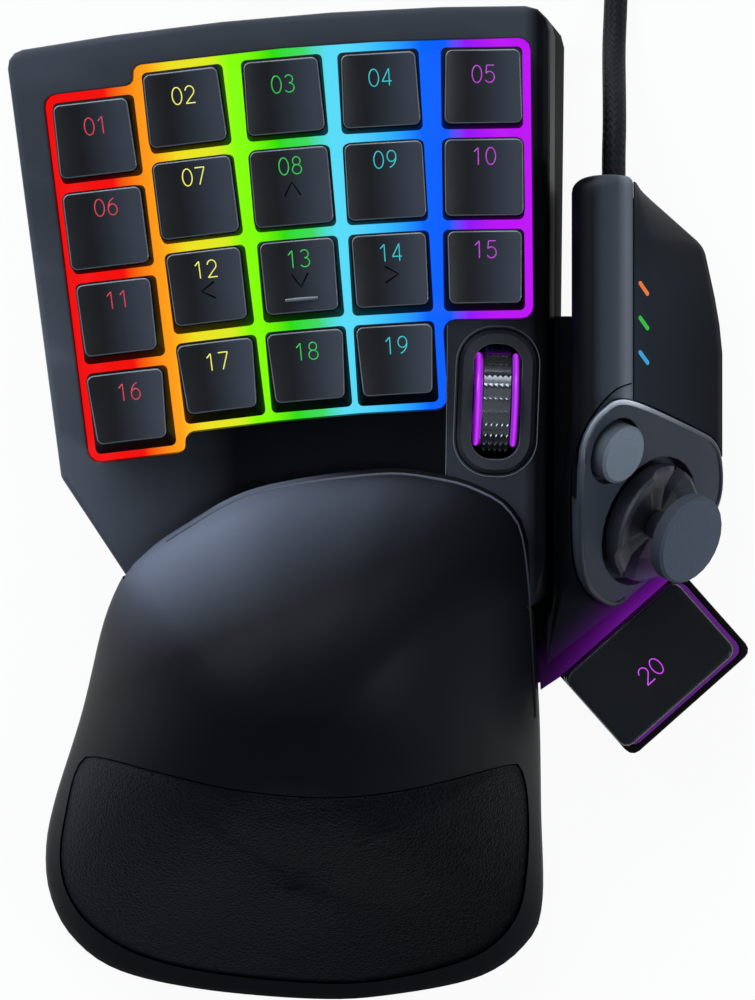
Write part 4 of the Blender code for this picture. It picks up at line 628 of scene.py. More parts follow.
def number_lines(digits, height, width, space, centre_x, centre_y):
    """Strokes for a number about a centre, in metres."""
    whole = len(digits) * width + (len(digits) - 1) * space
    found = []
    for index, digit in enumerate(digits):
        left = centre_x - whole / 2 + index * (width + space)
        low = centre_y - height / 2
        found += [[(left + x * width, low + y * height) for x, y in line] for line in digit_lines(digit)]
    return found


def surface_tree(piece):
    """A piece's faces, ready for lines to be dropped onto them."""
    return BVHTree.FromPolygons([v.co for v in piece.data.vertices],
                                [f.vertices[:] for f in piece.data.polygons])


def strokes(name, lines, thickness, finish, matrix, closed=False, caps=False):
    """Thin round strokes, each through one line of points."""
    curve = bpy.data.curves.new(name, "CURVE")
    curve.dimensions = "3D"
    curve.bevel_depth = thickness / 2
    curve.bevel_resolution = 1
    curve.use_fill_caps = caps
    for line in lines:
        spline = curve.splines.new("POLY")
        spline.points.add(len(line) - 1)
        spline.use_cyclic_u = closed
        for point, spot in zip(spline.points, line):
            point.co = (*spot, 1)
    curve.materials.append(finish)
    made = bpy.data.objects.new(name, curve)
    made.matrix_world = matrix
    bpy.context.scene.collection.objects.link(made)
    return made


def print_on(name, lines, piece, thickness, finish):
    """Strokes laid on the top of a piece, in its own directions."""
    top = surface_tree(piece)
    laid = []
    for line in lines:
        spots = [top.ray_cast(Vector((x, y, 1)), Vector((0, 0, -1)))[0] for x, y in line]
        laid.append([(spot.x, spot.y, spot.z - thickness * 0.30) for spot in spots])
    return strokes(name, laid, thickness, finish, piece.matrix_world, caps=True)


legend_colours = [(0.52, 0.035, 0.055), (0.76, 0.72, 0.12), (0.02, 0.42, 0.05), (0.02, 0.42, 0.46),
                  (0.40, 0.04, 0.50)]
legend_lights = [lit(f"legend_{index + 1}", colour) for index, colour in enumerate(legend_colours)]
legend_shifts = [0.0005, 0.0001, 0.0001, 0.0002, 0.0001]
legend_height, legend_width, legend_space, legend_stroke = 0.0034, 0.0019, 0.0007, 0.00034
legend_places = [0.0027, 0.0047, 0.0044, 0.0041]
arrow_dark = plain_gloss("arrow_dark", (0.0015, 0.0015, 0.0025), (0.0030, 0.0030, 0.0040), 0.8, spark=0.0)
arrow_width, arrow_depth, arrow_stroke, arrow_place = 0.0033, 0.0027, 0.00050, 0.0001
arrows = {
    8: [(-0.5, -0.5), (0, 0.5), (0.5, -0.5)],
    12: [(0.5, 0.5), (-0.5, 0), (0.5, -0.5)],
    13: [(-0.5, 0.5), (0, -0.5), (0.5, 0.5)],
    14: [(-0.5, 0.5), (0.5, 0), (-0.5, -0.5)],
}
key_number = 0
for row in range(4):
    for column in range(5):
        if row >= key_column_rows[column]:
            continue
        key_number += 1
        label = f"{key_number:02d}"
        share_x, share_y = key_column_shares[column]
        turn = key_column_turns[column]
        drop = key_pitch * row
        spot = (deck_left + deck_width * share_x + drop * math.sin(turn),
                deck_front + deck_length * share_y - drop * math.cos(turn), 0)
        cap = key_cap(f"cap_{label}", row, cap_black, cap_rim_highlight, cap_side_shade)
        cap.matrix_world = deck_frame @ Matrix.Translation(spot) @ Matrix.Rotation(turn, 4, "Z")
        bpy.context.view_layer.update()
        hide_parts(f"key_{label}")
        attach(cap, f"key_{label}")
        lines = number_lines(label, legend_height, legend_width, legend_space, legend_shifts[column],
                             legend_places[row])
        number = print_on(f"number_{label}", lines, cap, legend_stroke, legend_lights[column])
        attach(number, f"key_{label}")
        if key_number in arrows:
            upright = key_number in (8, 13)
            across, deep = (arrow_width, arrow_depth) if upright else (arrow_depth, arrow_width)
            shift = legend_shifts[column]
            line = [(x * across + shift, y * deep + arrow_place) for x, y in arrows[key_number]]
            arrow = print_on(f"arrow_{label}", [line], cap, arrow_stroke, arrow_dark)
            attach(arrow, f"key_{label}")
        if (column, row) == homing_key:
            line = [(-homing_reach, -homing_forward), (homing_reach, -homing_forward)]
            bar = print_on(f"homing_bar_{label}", [line], cap, homing_stroke, cap_rim_highlight)
            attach(bar, f"key_{label}")

# The scroll wheel. A clear spool with two round-edged flanges glows violet on both sides of the
# tyre, a dark glossy band with 26 rows of five small teeth across it. It turns in a carriage
# under a raised ring that sits in a groove of the deck.
wheel_place = (0.0241, 0.0200, 0)
wheel_turn = math.radians(-2.0)
wheel_radius, wheel_rise, tyre_width, tyre_thickness, tyre_rows = 0.0112, 0.0045, 0.0060, 0.0028, 26
tooth_height, tooth_count, tyre_edge = 0.0006, 5, 0.0003
flange_radius, flange_inner, flange_outer, axle_radius, axle_reach = 0.0095, 0.0032, 0.0044, 0.0015, 0.0060
wheel_frame = deck_frame @ Matrix.Translation(wheel_place) @ Matrix.Rotation(wheel_turn, 4, "Z")
axle_frame = wheel_frame @ Matrix.Translation((0, 0, wheel_rise - wheel_radius))
row_shares = [(0.00, 0.0), (0.07, 0.5), (0.13, 1.0), (0.20, 0.5), (0.26, 0.0), (0.34, 0.0), (0.48, 0.0),
              (0.62, 0.0), (0.76, 0.0), (0.90, 0.0)]
tyre_half = tyre_width / 2
tyre_rings = []
teeth_from = -tyre_half + tyre_edge
tooth_width = (tyre_width - 2 * tyre_edge) / tooth_count
tyre_columns = [(-tyre_half, hub) for hub in (tyre_thickness, tooth_height + tyre_edge)]
tyre_columns += [(teeth_from, tooth_height)]
for step in range(1, 4 * tooth_count):
    tyre_columns.append((teeth_from + tooth_width * step / 4, tooth_height))
tyre_columns += [(tyre_half - tyre_edge, tooth_height)]
tyre_columns += [(tyre_half, drop) for drop in (tooth_height + tyre_edge, tyre_thickness)]
for x, drop in tyre_columns:
    ring = []
    across = (x - teeth_from) / tooth_width % 1.0
    tooth = 1 - abs(2 * across - 1) if abs(x) < tyre_half - tyre_edge / 2 else 0.0
    for tyre_row in range(tyre_rows):
        for share, rise in row_shares:
            angle = 2 * math.pi * (tyre_row + share + 0.2 * tooth * (rise > 0)) / tyre_rows
            radius = wheel_radius - drop + tooth_height * rise * tooth
            ring.append((x, radius * math.cos(angle), radius * math.sin(angle)))
    tyre_rings.append(ring)
tyre_black, tyre_shader, tyre_place = new_finish("tyre_black", Metallic=0.85)
tyre_worn = tyre_place.grain(900, 2.0)
feed(tyre_shader, Base_Color=tyre_worn.colours((0.20, 0.205, 0.22), (0.28, 0.29, 0.31)),
     Roughness=tyre_worn * 0.08 + 0.20)
tyre = skin_of("tyre", tyre_rings + [tyre_rings[0]], tyre_black, closed_ends=False)
tyre.matrix_world = axle_frame
rounded_off(tyre, 28.0)


def spool_ring(x, radius):
    angles = [math.tau * k / 96 for k in range(96)]
    return [(x, radius * math.cos(angle), radius * math.sin(angle)) for angle in angles]


hub_radius = wheel_radius - tyre_thickness
spool_rings = [spool_ring(-axle_reach, axle_radius)]
for side in (-1, 1):
    round_edge = []
    flange_middle = (flange_inner + flange_outer) / 2
    half_width = (flange_outer - flange_inner) / 2
    for step in range(9):
        angle = math.pi * step / 8
        round_edge.append((flange_middle + half_width * math.cos(angle),
                           flange_radius - half_width * (1 - math.sin(angle))))
    walls = [(flange_outer, axle_radius)] + round_edge + [(flange_inner, hub_radius - part_gap)]
    spool_rings += [spool_ring(side * x, radius) for x, radius in (walls if side < 0 else reversed(walls))]
spool_rings.append(spool_ring(axle_reach, axle_radius))
spool_glow, spool_shader, spool_place = new_finish("spool_glow", Base_Color=(0.05, 0.01, 0.08, 1),
                                                   Roughness=0.25, Emission_Strength=1.0)
outward = abs(spool_place.part("X")).between(flange_inner * 1.05, flange_outer * 1.02)
feed(spool_shader, Emission_Color=outward.ramp(
    (0.0, (0.30, 0.02, 0.62)), (1.0, (0.030, 0.001, 0.06)), (0.35, (0.62, 0.05, 0.92)),
    (0.65, (0.40, 0.008, 0.80))))
spool = skin_of("wheel_spool", spool_rings, spool_glow)
spool.matrix_world = axle_frame
rounded_off(spool, 40.0)
ring_grey = plain_gloss("ring_grey", (0.030, 0.034, 0.040), (0.042, 0.047, 0.055), 0.40)
dress("wheel_ring", ring_grey)
ring_width, ring_length, ring_corner, ring_border = 0.0100, 0.0236, 0.0042, 0.0028
groove_clear, edge_stroke, seam_stroke = 0.0004, 0.00022, 0.00020
# Painted highlight: light grey strokes along the ring, the groove and the panel seam, for the light their
# edges catch.
edge_highlight = plain_gloss("edge_highlight", (0.16, 0.17, 0.19), (0.20, 0.215, 0.24), 0.3)


def thin_line(name, spots, thickness, finish, matrix, closed=True):
    """A thin stroke along an edge: a painted highlight on a moulded step, or a dark joint, after its finish.
    """
    return strokes(name, [spots], thickness, finish, matrix, closed)


edges = [("ring_edge", 0.0, 0.0005),
         ("groove_edge", ring_border + part_gap + groove_clear, -0.00002)]
for edge_name, grow, height in edges:
    x, y = ring_width / 2 + grow, ring_length / 2 + grow
    outline = outline_of(box_of(x, y), ring_corner + grow, arc=10, side=4)
    edge = thin_line(edge_name, [(*spot, height) for spot in outline], edge_stroke, edge_highlight, wheel_frame)
    bpy.context.view_layer.update()
    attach(edge, "base")
# The panel seam's stroke carries the same painted highlight.
panel_seam = [(0.0141, 0.0355, 0.00002), (0.0139, 0.0100, 0.00002), (0.0137, -0.0060, 0.00002)]
seam = thin_line("panel_seam", panel_seam, seam_stroke, edge_highlight, deck_frame, closed=False)
bpy.context.view_layer.update()
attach(seam, "base")

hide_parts("wheel_tyre")
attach(tyre, "wheel")
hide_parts("wheel_hub")
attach(spool, "wheel")

# The thumb module's casing. A round spine and a sloping side cover meet at a straight seam, both
# moulded in fine-grained charcoal plastic. The spine's back end is rounded off round the lead.
spine_left, spine_width, spine_top = 0.0390, 0.0120, 0.0490
cover_shoulder, cover_reach, casing_inner, end_plate = 0.0200, 0.0196, 0.9, 0.0027
casing_back, casing_length, casing_low = 0.0647, 0.0640, 0.0123
spine_seam = spine_left + spine_width
spine_section_shares = [(0.18, 0.250), (0.06, 0.620), (0.00, 0.840), (0.05, 0.925), (0.22, 0.982),
                        (0.48, 1.000), (0.76, 0.985), (1.00, 0.935)]
cover_section_shares = [(0.25, 0.17), (0.50, 0.42), (0.75, 0.70), (0.93, 0.90), (1.00, 1.00)]
cover_reach_shares = [(0.0, 0.07), (0.183, 0.745), (0.20, 0.79), (0.22, 0.82), (0.361, 0.92), (0.45, 0.97),
                      (0.542, 1.0), (1.0, 1.0)]
end_round, end_right_round, end_left, end_right, end_drop_share = 0.050, 0.028, 0.0042, 0.0018, 0.06
casing_places = [0.0, 0.0015, 0.004, 0.008, 0.013, 0.019, 0.025, 0.030, 0.037, 0.050, 0.07, 0.10, 0.14,
                 0.18, 0.195, 0.205, 0.215, 0.225, 0.24, 0.27, 0.30, 0.33, 0.361, 0.40, 0.45, 0.50,
                 0.542, 0.62, 0.72, 0.85, 1.0]


def casing_section(along):
    """The spine's and the cover's outer lines in section at one place, as (x, z)."""
    round_off = 1 - math.sqrt(1 - (1 - min(along / end_round, 1)) ** 2)
    right_off = 1 - math.sqrt(1 - (1 - min(along / end_right_round, 1)) ** 2)
    left, right = spine_left + end_left * round_off, spine_seam - end_right * right_off
    height = 1 - end_drop_share * round_off
    reach = float(np.interp(along, [a for a, _ in cover_reach_shares], [r for _, r in cover_reach_shares]))
    spine_line = [(left + (right - left) * x, spine_top * z)
                  for x, z in smooth(spine_section_shares, parts=5)]
    seam_height = spine_line[-1][1]
    cover_line = [(spine_seam + cover_reach * reach * x, seam_height - (seam_height - cover_shoulder) * z)
                  for x, z in [(0.0, 0.0), (0.12, 0.075)] + cover_section_shares]
    lines = []
    for line in (spine_line, cover_line):
        lines.append([(x, casing_low + (z - casing_low) * height) for x, z in line])
    lines[0][0] = (lines[0][0][0], casing_low)
    lines[1].append((lines[1][-1][0], casing_low))
    return lines


def walled(line):
    """A closed outline of a wall, from its outer line."""
    inner = [(spine_seam + (x - spine_seam) * casing_inner, casing_low + (z - casing_low) * casing_inner)
             for x, z in line]
    return list(line)[::-1] + inner


def casing_rings(side, shift):
    rings = []
    for along in casing_places[5 * side:]:
        line = [(x + shift, z) for x, z in casing_section(along)[side]]
        rings.append([(x, casing_back - casing_length * along, z) for x, z in walled(line)])
    return rings


face_x, face_y, face_z = 0.0550, -0.0043, 0.0310
face_tilt, face_turn, face_cap_height, face_half = math.radians(50.0), math.radians(26.0), 0.0530, 0.0250
face_outline_shares = [
    (-0.440, 0.880), (-0.580, 0.660), (-0.610, 0.400), (-0.610, -0.106), (-0.575, -0.404), (-0.470, -0.600),
    (-0.270, -0.700), (-0.060, -0.550), (0.150, -0.360), (0.410, -0.130), (0.560, 0.010), (0.640, 0.200),
    (0.640, 0.440), (0.575, 0.640), (0.388, 0.755), (-0.198, 0.972),
]
face_frame = (Matrix.Translation(middle + Vector((face_x, face_y, face_z)))
              @ Matrix.Rotation(-face_turn, 4, "Z") @ Matrix.Rotation(face_tilt, 4, "Y"))
face_normal = face_frame.to_3x3() @ Vector((0, 0, 1))
face_corners = [(face_x + face_half * x, face_y + face_half * y) for x, y in face_outline_shares]
face_line = smooth(face_corners, closed=True)
face_outline = [Vector(spot) for spot in evenly(face_line + [face_line[0]], 161)[:-1]]


def face_level(x, y):
    level = face_z - ((x - face_x) * face_normal.x + (y - face_y) * face_normal.y) / face_normal.z
    return min(level, face_cap_height)


def moved_in(outline, distance):
    """An outline moved inwards by a distance."""
    found = []
    for index, here in enumerate(outline):
        way = (outline[(index + 1) % len(outline)] - outline[index - 1]).normalized()
        found.append(here + Vector((-way.y, way.x)) * distance)
    return found


def in_world(rings):
    return [[tuple(Vector(p) + middle) for p in ring] for ring in rings]


def carve(piece, *cutters):
    """Cuts other pieces' shapes out of this one."""
    bpy.context.view_layer.update()
    for cutter in cutters:
        cutting = piece.modifiers.new("cut", "BOOLEAN")
        cutting.operation = "DIFFERENCE"
        cutting.solver = "EXACT"
        cutting.object = cutter
    evaluated = piece.evaluated_get(bpy.context.evaluated_depsgraph_get())
    carved = bpy.data.meshes.new_from_object(evaluated)
    piece.modifiers.clear()
    piece.data = carved
    for cutter in cutters:
        bpy.data.objects.remove(cutter)


spine_black, spine_shader, spine_spot = new_finish("spine_black", Specular_IOR_Level=0.12)
spine_grit = spine_spot.grain(4200, 1.0)
spine_across = (spine_spot.part("X") - (spine_left + middle.x)) / spine_width
# Painted light and shade: the spine is painted near black along its left side, with a bright painted
# highlight band just before the seam.
spine_painted_shading = (spine_across + spine_grit * 0.05 - 0.025).ramp(
    (0.0, (0.0010, 0.0010, 0.0015)), (1.0, (0.040, 0.046, 0.056)), (0.30, (0.0015, 0.0018, 0.0028)),
    (0.46, (0.030, 0.035, 0.044)), (0.72, (0.050, 0.057, 0.070)), (0.87, (0.160, 0.172, 0.200)),
    (0.95, (0.150, 0.160, 0.185)))
feed(spine_shader, Base_Color=spine_painted_shading, Roughness=spine_grit * 0.12 + 0.42,
     Normal=spine_grit.bump(0.00004, 0.5))
cover_black, cover_shader, cover_spot = new_finish("cover_black", Specular_IOR_Level=0.015)
cover_grit = cover_spot.grain(4200, 1.0)
cover_across = (cover_spot.part("X") - (spine_seam + middle.x)) / cover_reach
# Painted light and shade: the cover is painted lighter beside the seam and darker towards its far edge, and
# painted darker towards its back end as painted shade.
cover_back_shade = cover_spot.part("Y").between(0.066, 0.044) * 0.6 + 0.4
cover_lit = cover_across.colours((0.027, 0.032, 0.040), (0.004, 0.006, 0.009))
cover_tone = cover_back_shade.colours((0.0, 0.0, 0.0), cover_lit)
feed(cover_shader, Base_Color=cover_tone, Roughness=cover_grit * 0.12 + 0.42,
     Normal=cover_grit.bump(0.00004, 0.5))

seam_gap, face_gap, arc_stroke, casings = 0.00025, 0.00012, 0.00030, []
casing_kinds = ((0, "spine_casing", "thumb_spine", -seam_gap / 2, spine_black),
                (1, "side_cover", "thumb_cover", seam_gap / 2, cover_black))
for side, piece_name, node_name, shift, finish in casing_kinds:
    casing = skin_of(piece_name, in_world(casing_rings(side, shift)), finish)
    around_face = moved_in(face_outline, -face_gap)
    face_room = [[(*spot, height) for spot in around_face] for height in (0.0, face_cap_height * 1.1)]
    carve(casing, skin_of("face_room", in_world(face_room), finish))
    if side == 0:
        end_line = casing_section(0.0)[0]
        end_line.append((end_line[-1][0], casing_low))
        end_rings = [[(x, casing_back - depth, z) for x, z in end_line] for depth in (0.0, end_plate)]
        join(casing, skin_of("casing_end", in_world(end_rings), finish))
    casings.append(casing)
    rounded_off(casing, 30.0)
    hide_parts(node_name)
    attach(casing, "base")
joint_dark = plain_gloss("joint_dark", (0.0010, 0.0010, 0.0014), (0.0016, 0.0016, 0.0022), 0.7, spark=0.0)
arc_line = [(0.0505, 0.0232), (0.0478, 0.0222), (0.0455, 0.0203), (0.0431, 0.0174), (0.0412, 0.0142),
            (0.0399, 0.0108), (0.0394, 0.0070)]
arc_spots = []
for x, y in smooth(arc_line, parts=6):
    over = Vector((x, y, spine_top * 2)) + middle
    hit, spot, _, _ = casings[0].ray_cast(over, Vector((0, 0, -1)))
    if hit and spot.z > spine_top / 2:
        arc_spots.append(tuple(spot))
arc_seam = thin_line("arc_seam", arc_spots, arc_stroke, joint_dark, Matrix(), closed=False)
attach(arc_seam, "base")

# The status lamps. Three slim clear lenses let into the side cover, lit orange, green and blue.
lens_length, lens_width, lens_rise, lens_depth, lens_inset = 0.0037, 0.0009, 0.00012, 0.0008, 0.0021
lens_back, lens_spacing, lens_turn = 0.0422, 0.0069, math.radians(-45.0)
for lamp_index, lamp_colour in enumerate(((0.66, 0.14, 0.015), (0.01, 0.38, 0.02), (0.015, 0.26, 0.50))):
    lens_over = Vector((spine_seam + lens_inset, lens_back - lens_spacing * lamp_index, spine_top)) + middle
    _, lens_spot, cover_way, _ = casing.ray_cast(lens_over, Vector((0, 0, -1)))
    x, y = lens_length / 2, lens_width / 2
    outline = outline_of(box_of(x, y), lens_width * 0.48, arc=5, side=2)
    lens_levels = ((1.0, -lens_depth), (1.0, lens_rise * 0.4), (0.85, lens_rise), (0.3, lens_rise))
    lens_rings = [[(p.x * share, p.y * share, rise) for p in outline] for share, rise in lens_levels]
    lens_light = lit(f"lamp_light_{lamp_index + 1}", lamp_colour)
    lens = skin_of(f"status_lens_{lamp_index + 1}", lens_rings, lens_light)
    lens_lean = Vector((0, 0, 1)).rotation_difference(cover_way).to_matrix().to_4x4()
    lens.matrix_world = Matrix.Translation(lens_spot) @ lens_lean @ Matrix.Rotation(lens_turn, 4, "Z")
    bpy.context.view_layer.update()
    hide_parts(f"status_lamp_{lamp_index + 1}")
    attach(lens, "base")

# The thumb face. The tilted body and the lobed pad are smooth dark plastic with a painted highlight along
# the bevel, and the stick's cap and the round button are soft grey rubber with a speckled skin.
bar_low, bar_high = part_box("thumb_key")
bar_spot = (bar_low + bar_high) / 2
bar_turn, bar_length, bar_width, bar_corner = math.radians(41.6), 0.0306, 0.0196, 0.0020


def key_light_on(place, reach, strength):
    """How strongly the space key's light falls on what stands behind it."""
    x, y = place.part("X") - bar_spot.x, place.part("Y") - bar_spot.y
    along = (x * math.cos(bar_turn) + y * math.sin(bar_turn)).between(-bar_length * 0.60, bar_length * 0.10)
    away = (y * math.cos(bar_turn) - x * math.sin(bar_turn)).between(reach + bar_width / 2, bar_width / 2)
    return (along * 0.85 + 0.15) * away * away * away * strength


def dark_plastic(name, dark, light, roughness, spark, reach, strength):
    """Smooth plastic near the space key, whose violet light falls on it."""
    material, shader, place = new_finish(name, Specular_IOR_Level=spark, Emission_Strength=1.0)
    cloud = place.grain(60, 3.0)
    grit = place.grain(4200, 1.0)
    glow = key_light_on(place, reach, strength)
    feed(shader, Base_Color=cloud.colours(dark, light), Roughness=grit * 0.10 + roughness,
         Normal=grit.bump(0.00003, 0.5, place.rounded(0.0005)),
         Emission_Color=glow.colours((0.0, 0.0, 0.0), (0.22, 0.010, 0.42)))
    return material


face_black = dark_plastic("face_black", (0.034, 0.041, 0.054), (0.046, 0.055, 0.072), 0.42, 0.15, 0.009, 0.6)
pad_black = dark_plastic("pad_black", (0.030, 0.034, 0.042), (0.044, 0.049, 0.058), 0.38, 0.20, 0.014, 0.35)
dress("thumb_bezel", face_black)
dress("thumb_pad", pad_black, 14.0)


def speckled_rubber(name, dark, light, side_share):
    """Matte rubber whose side walls are painted darker than its crown, as painted shade."""
    material, shader, place = new_finish(name, Roughness=0.75, Specular_IOR_Level=0.2)
    speck = place.grain(2600, 2.0)
    # Painted shade: the colour fades to black where the surface turns away from the face's normal.
    crown = place.facing(tuple(face_normal)).between(0.55, 0.95) * (1 - side_share) + side_share
    tone = speck.colours(dark, light)
    feed(shader, Base_Color=crown.colours((0.0, 0.0, 0.0), tone), Normal=speck.bump(0.00006, 0.4))
    return material


dress("stick_cap", speckled_rubber("cap_rubber", (0.062, 0.074, 0.098), (0.105, 0.124, 0.160), 0.45))
dress("thumb_button", speckled_rubber("button_rubber", (0.170, 0.200, 0.240), (0.240, 0.275, 0.320), 0.35))
bevel_highlight, bevel_shader, bevel_place = new_finish("bevel_highlight", Roughness=0.35, Specular_IOR_Level=0.3)
apex, apex_reach = Vector((0.0505, 0.0198, 0.0)) + middle, 0.024
bevel_clear, bevel_drop, bevel_inset, bevel_stroke = 0.0170, 0.00055, 0.00075, 0.0011
apex_x, apex_y = bevel_place.part("X") - apex.x, bevel_place.part("Y") - apex.y
# Painted highlight: the bevel stroke is painted bright near the face's apex and fades to dark away from it.
near_apex = ((apex_x * apex_x + apex_y * apex_y) ** 0.5).between(apex_reach, 0.0)
feed(bevel_shader, Base_Color=near_apex.ramp(
    (0.0, (0.030, 0.035, 0.044)), (1.0, (0.75, 0.77, 0.82)), (0.45, (0.09, 0.10, 0.12)),
    (0.80, (0.30, 0.32, 0.36))))
pad_low_corner, pad_high_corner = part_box("thumb_pad")
pad_middle = (pad_low_corner + pad_high_corner) / 2
bevel_loop = [Vector((spot.x, spot.y, face_level(*spot) - bevel_drop)) + middle
              for spot in moved_in(face_outline, bevel_inset)]
first = min(range(len(bevel_loop)), key=lambda i: (bevel_loop[i] - pad_middle).length)
bevel_loop = bevel_loop[first:] + bevel_loop[:first]
bevel_spots = [tuple(p) for p in bevel_loop if (p - pad_middle).length > bevel_clear]
bevel = thin_line("face_bevel", bevel_spots, bevel_stroke, bevel_highlight, Matrix(), closed=False)
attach(bevel, "base")

# The space key under the thumb. A dark plate with a rounded edge over a lit ring in a black
# tray. Its light spills on the apron behind it, the low cover between deck, palm and module.
apron_black = dark_plastic("apron_black", (0.0060, 0.0068, 0.0085), (0.0105, 0.0120, 0.0145), 0.5, 0.05,
                           0.011, 0.65)
dress("thumb_apron", apron_black)
tray_black = plain_gloss("tray_black", (0.0012, 0.0010, 0.0016), (0.0022, 0.0016, 0.0030), 0.5, spark=0.15)
dress("thumb_key_frame", tray_black)
key_plate = plain_gloss("key_plate", (0.0055, 0.0065, 0.0080), (0.0085, 0.0100, 0.0120), 0.38, spark=0.25)
dress("thumb_key", key_plate)
dress("thumb_key_light", lit("key_light", (0.075, 0.008, 0.14)))
plate_inset, plate_drop, plate_stroke = 0.0003, 0.00022, 0.00030


def by_key(x, y, z):
    """A place given along and across the space key."""
    return (bar_spot.x + x * math.cos(bar_turn) - y * math.sin(bar_turn),
            bar_spot.y + x * math.sin(bar_turn) + y * math.cos(bar_turn), z)


x, y = bar_length / 2 - plate_inset, bar_width / 2 - plate_inset
plate_outline = outline_of(box_of(x, y), bar_corner, arc=8, side=4)
# Painted highlight: a lighter stroke along the plate's rounded edge.
plate_rim_highlight = plain_gloss("plate_rim_highlight", (0.012, 0.011, 0.016), (0.020, 0.019, 0.026), 0.4)
plate_spots = [by_key(*spot, bar_high.z - plate_drop) for spot in plate_outline]
plate_edge = thin_line("key_plate_edge", plate_spots, plate_stroke, plate_rim_highlight, Matrix())
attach(plate_edge, "thumb_key")
bar_lines = []
for line in number_lines("20", 0.0036, 0.0021, 0.0008, -0.0007, -0.0010):
    bar_lines.append([by_key(px, py, 0)[:2] for px, py in line])
bar_light = lit("legend_20", (0.58, 0.05, 0.80))
bar_number = print_on("number_20", bar_lines, nodes["thumb_key"], legend_stroke, bar_light)
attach(bar_number, "thumb_key")

# The palm rest. A domed shell with a soft-touch coat slides on the base. Its back rises to a
# crown beside the keys, and a shallow recess in its front half takes the cushion.
palm_right, palm_width, palm_front, palm_length, palm_top = 0.0342, 0.1029, -0.1035, 0.1098, 0.0626
palm_left = palm_right - palm_width
palm_bottom, palm_bottom_inset, palm_wall, palm_deck_gap = 0.0035, 0.0015, 0.0032, 0.0006
palm_outline_shares = [
    (0.667, 1.000), (0.426, 0.964), (0.277, 0.891), (0.195, 0.835), (0.162, 0.798), (0.120, 0.707),
    (0.074, 0.541), (0.019, 0.378), (0.000, 0.284), (0.008, 0.198), (0.051, 0.119), (0.141, 0.056),
    (0.306, 0.019), (0.532, 0.000), (0.683, 0.006), (0.870, 0.041), (0.968, 0.106), (1.000, 0.184),
    (0.997, 0.359), (0.991, 0.571), (0.967, 0.847), (0.932, 0.930), (0.865, 0.970), (0.792, 0.990),
]
palm_ridge_shares = [(0.0, 0.27), (0.12, 0.40), (0.26, 0.60), (0.40, 0.80), (0.52, 0.94), (0.64, 1.0),
                     (0.76, 0.985), (0.88, 0.86), (0.96, 0.69), (1.0, 0.56)]
palm_rim_shares = [(0.0, 0.15), (0.25, 0.17), (0.6, 0.25), (0.8, 0.43), (1.0, 0.535)]
palm_hub_shares, palm_dome_powers, palm_points, palm_easing = (0.500, 0.480), (2.4, 0.78), 132, 90
palm_loop_shares = [1.0, 0.99, 0.975, 0.955, 0.93, 0.90, 0.86, 0.80, 0.74, 0.66, 0.58, 0.48, 0.38, 0.28,
                    0.18, 0.08]
pad_hub_shares, pad_points, pad_inset_depth = (0.500, 0.240), 120, 0.0018
pad_outline_shares = [
    (0.110, 0.467), (0.071, 0.440), (0.049, 0.363), (0.035, 0.276), (0.049, 0.202), (0.100, 0.139),
    (0.196, 0.086), (0.346, 0.052), (0.570, 0.033), (0.719, 0.046), (0.869, 0.089), (0.943, 0.158),
    (0.965, 0.252), (0.967, 0.360), (0.955, 0.431), (0.925, 0.451), (0.717, 0.415), (0.558, 0.404),
    (0.391, 0.419), (0.244, 0.447),
]


def palm_spot(share_x, share_y):
    return (palm_left + palm_width * share_x, palm_front + palm_length * share_y)


def loop_through(shares, count):
    """A closed, evenly spaced curve through places of the palm rest."""
    line = smooth([palm_spot(*share) for share in shares], closed=True)
    return [Vector(p) for p in evenly(line + [line[0]], count + 1)[:-1]]


palm_outline = loop_through(palm_outline_shares, palm_points)
pad_outline = loop_through(pad_outline_shares, pad_points)
palm_hub, pad_hub = Vector(palm_spot(*palm_hub_shares)), Vector(palm_spot(*pad_hub_shares))
ridge_line = np.array(smooth(palm_ridge_shares, parts=8))
rim_line = np.array(smooth(palm_rim_shares, parts=8))


def along_palm(y, line):
    return palm_top * float(np.interp((y - palm_front) / palm_length, line[:, 0], line[:, 1]))


def palm_rings(inward, low):
    """The dome's rings, from its low edge to the hub, with the creases between them eased out."""
    edge = moved_in(palm_outline, inward)
    rings = [[(*p, low) for p in moved_in(palm_outline, inward + palm_bottom_inset)]]
    power, bend = palm_dome_powers
    for share in palm_loop_shares:
        dome = max(1 - share**power, 0) ** bend
        heights = []
        for outer in palm_outline:
            at_y = palm_hub.lerp(outer, share).y
            rim = along_palm(at_y, rim_line)
            heights.append(rim + (along_palm(at_y, ridge_line) - rim) * dome)
        heights = np.array(heights)
        for _ in range(int(palm_easing * (1 - share))):
            heights = (np.roll(heights, 1) + heights * 2 + np.roll(heights, -1)) / 4
        rings.append([(*palm_hub.lerp(inner, share), high - inward) for inner, high in zip(edge, heights)])
    return rings


soft_black, soft_shader, soft_place = new_finish("soft_black", Specular_IOR_Level=0.08)
haze = soft_place.grain(60, 4.0)
powder = soft_place.grain(5000, 1.0)
# Painted highlight: a soft sheen painted on the dome's back-left shoulder, where its surface faces back and
# to the left.
sheen_place = (soft_place.part("Y") - soft_place.part("X") * 0.45).between(-0.011, 0.012)
dome_painted_sheen = soft_place.facing((-0.50, 0.60, 0.625)).between(0.70, 1.0) * sheen_place
soft_tone = (dome_painted_sheen * dome_painted_sheen * 0.6 + dome_painted_sheen * 0.4).colours((0.0035, 0.0042, 0.0058), (0.150, 0.170, 0.222))
feed(soft_shader, Base_Color=soft_tone, Roughness=haze * 0.06 + 0.47, Normal=powder.bump(0.00003, 0.4))
palm_dome = skin_of("palm_dome", in_world(palm_rings(0.0, palm_bottom)), soft_black)
dome_tree = surface_tree(palm_dome)


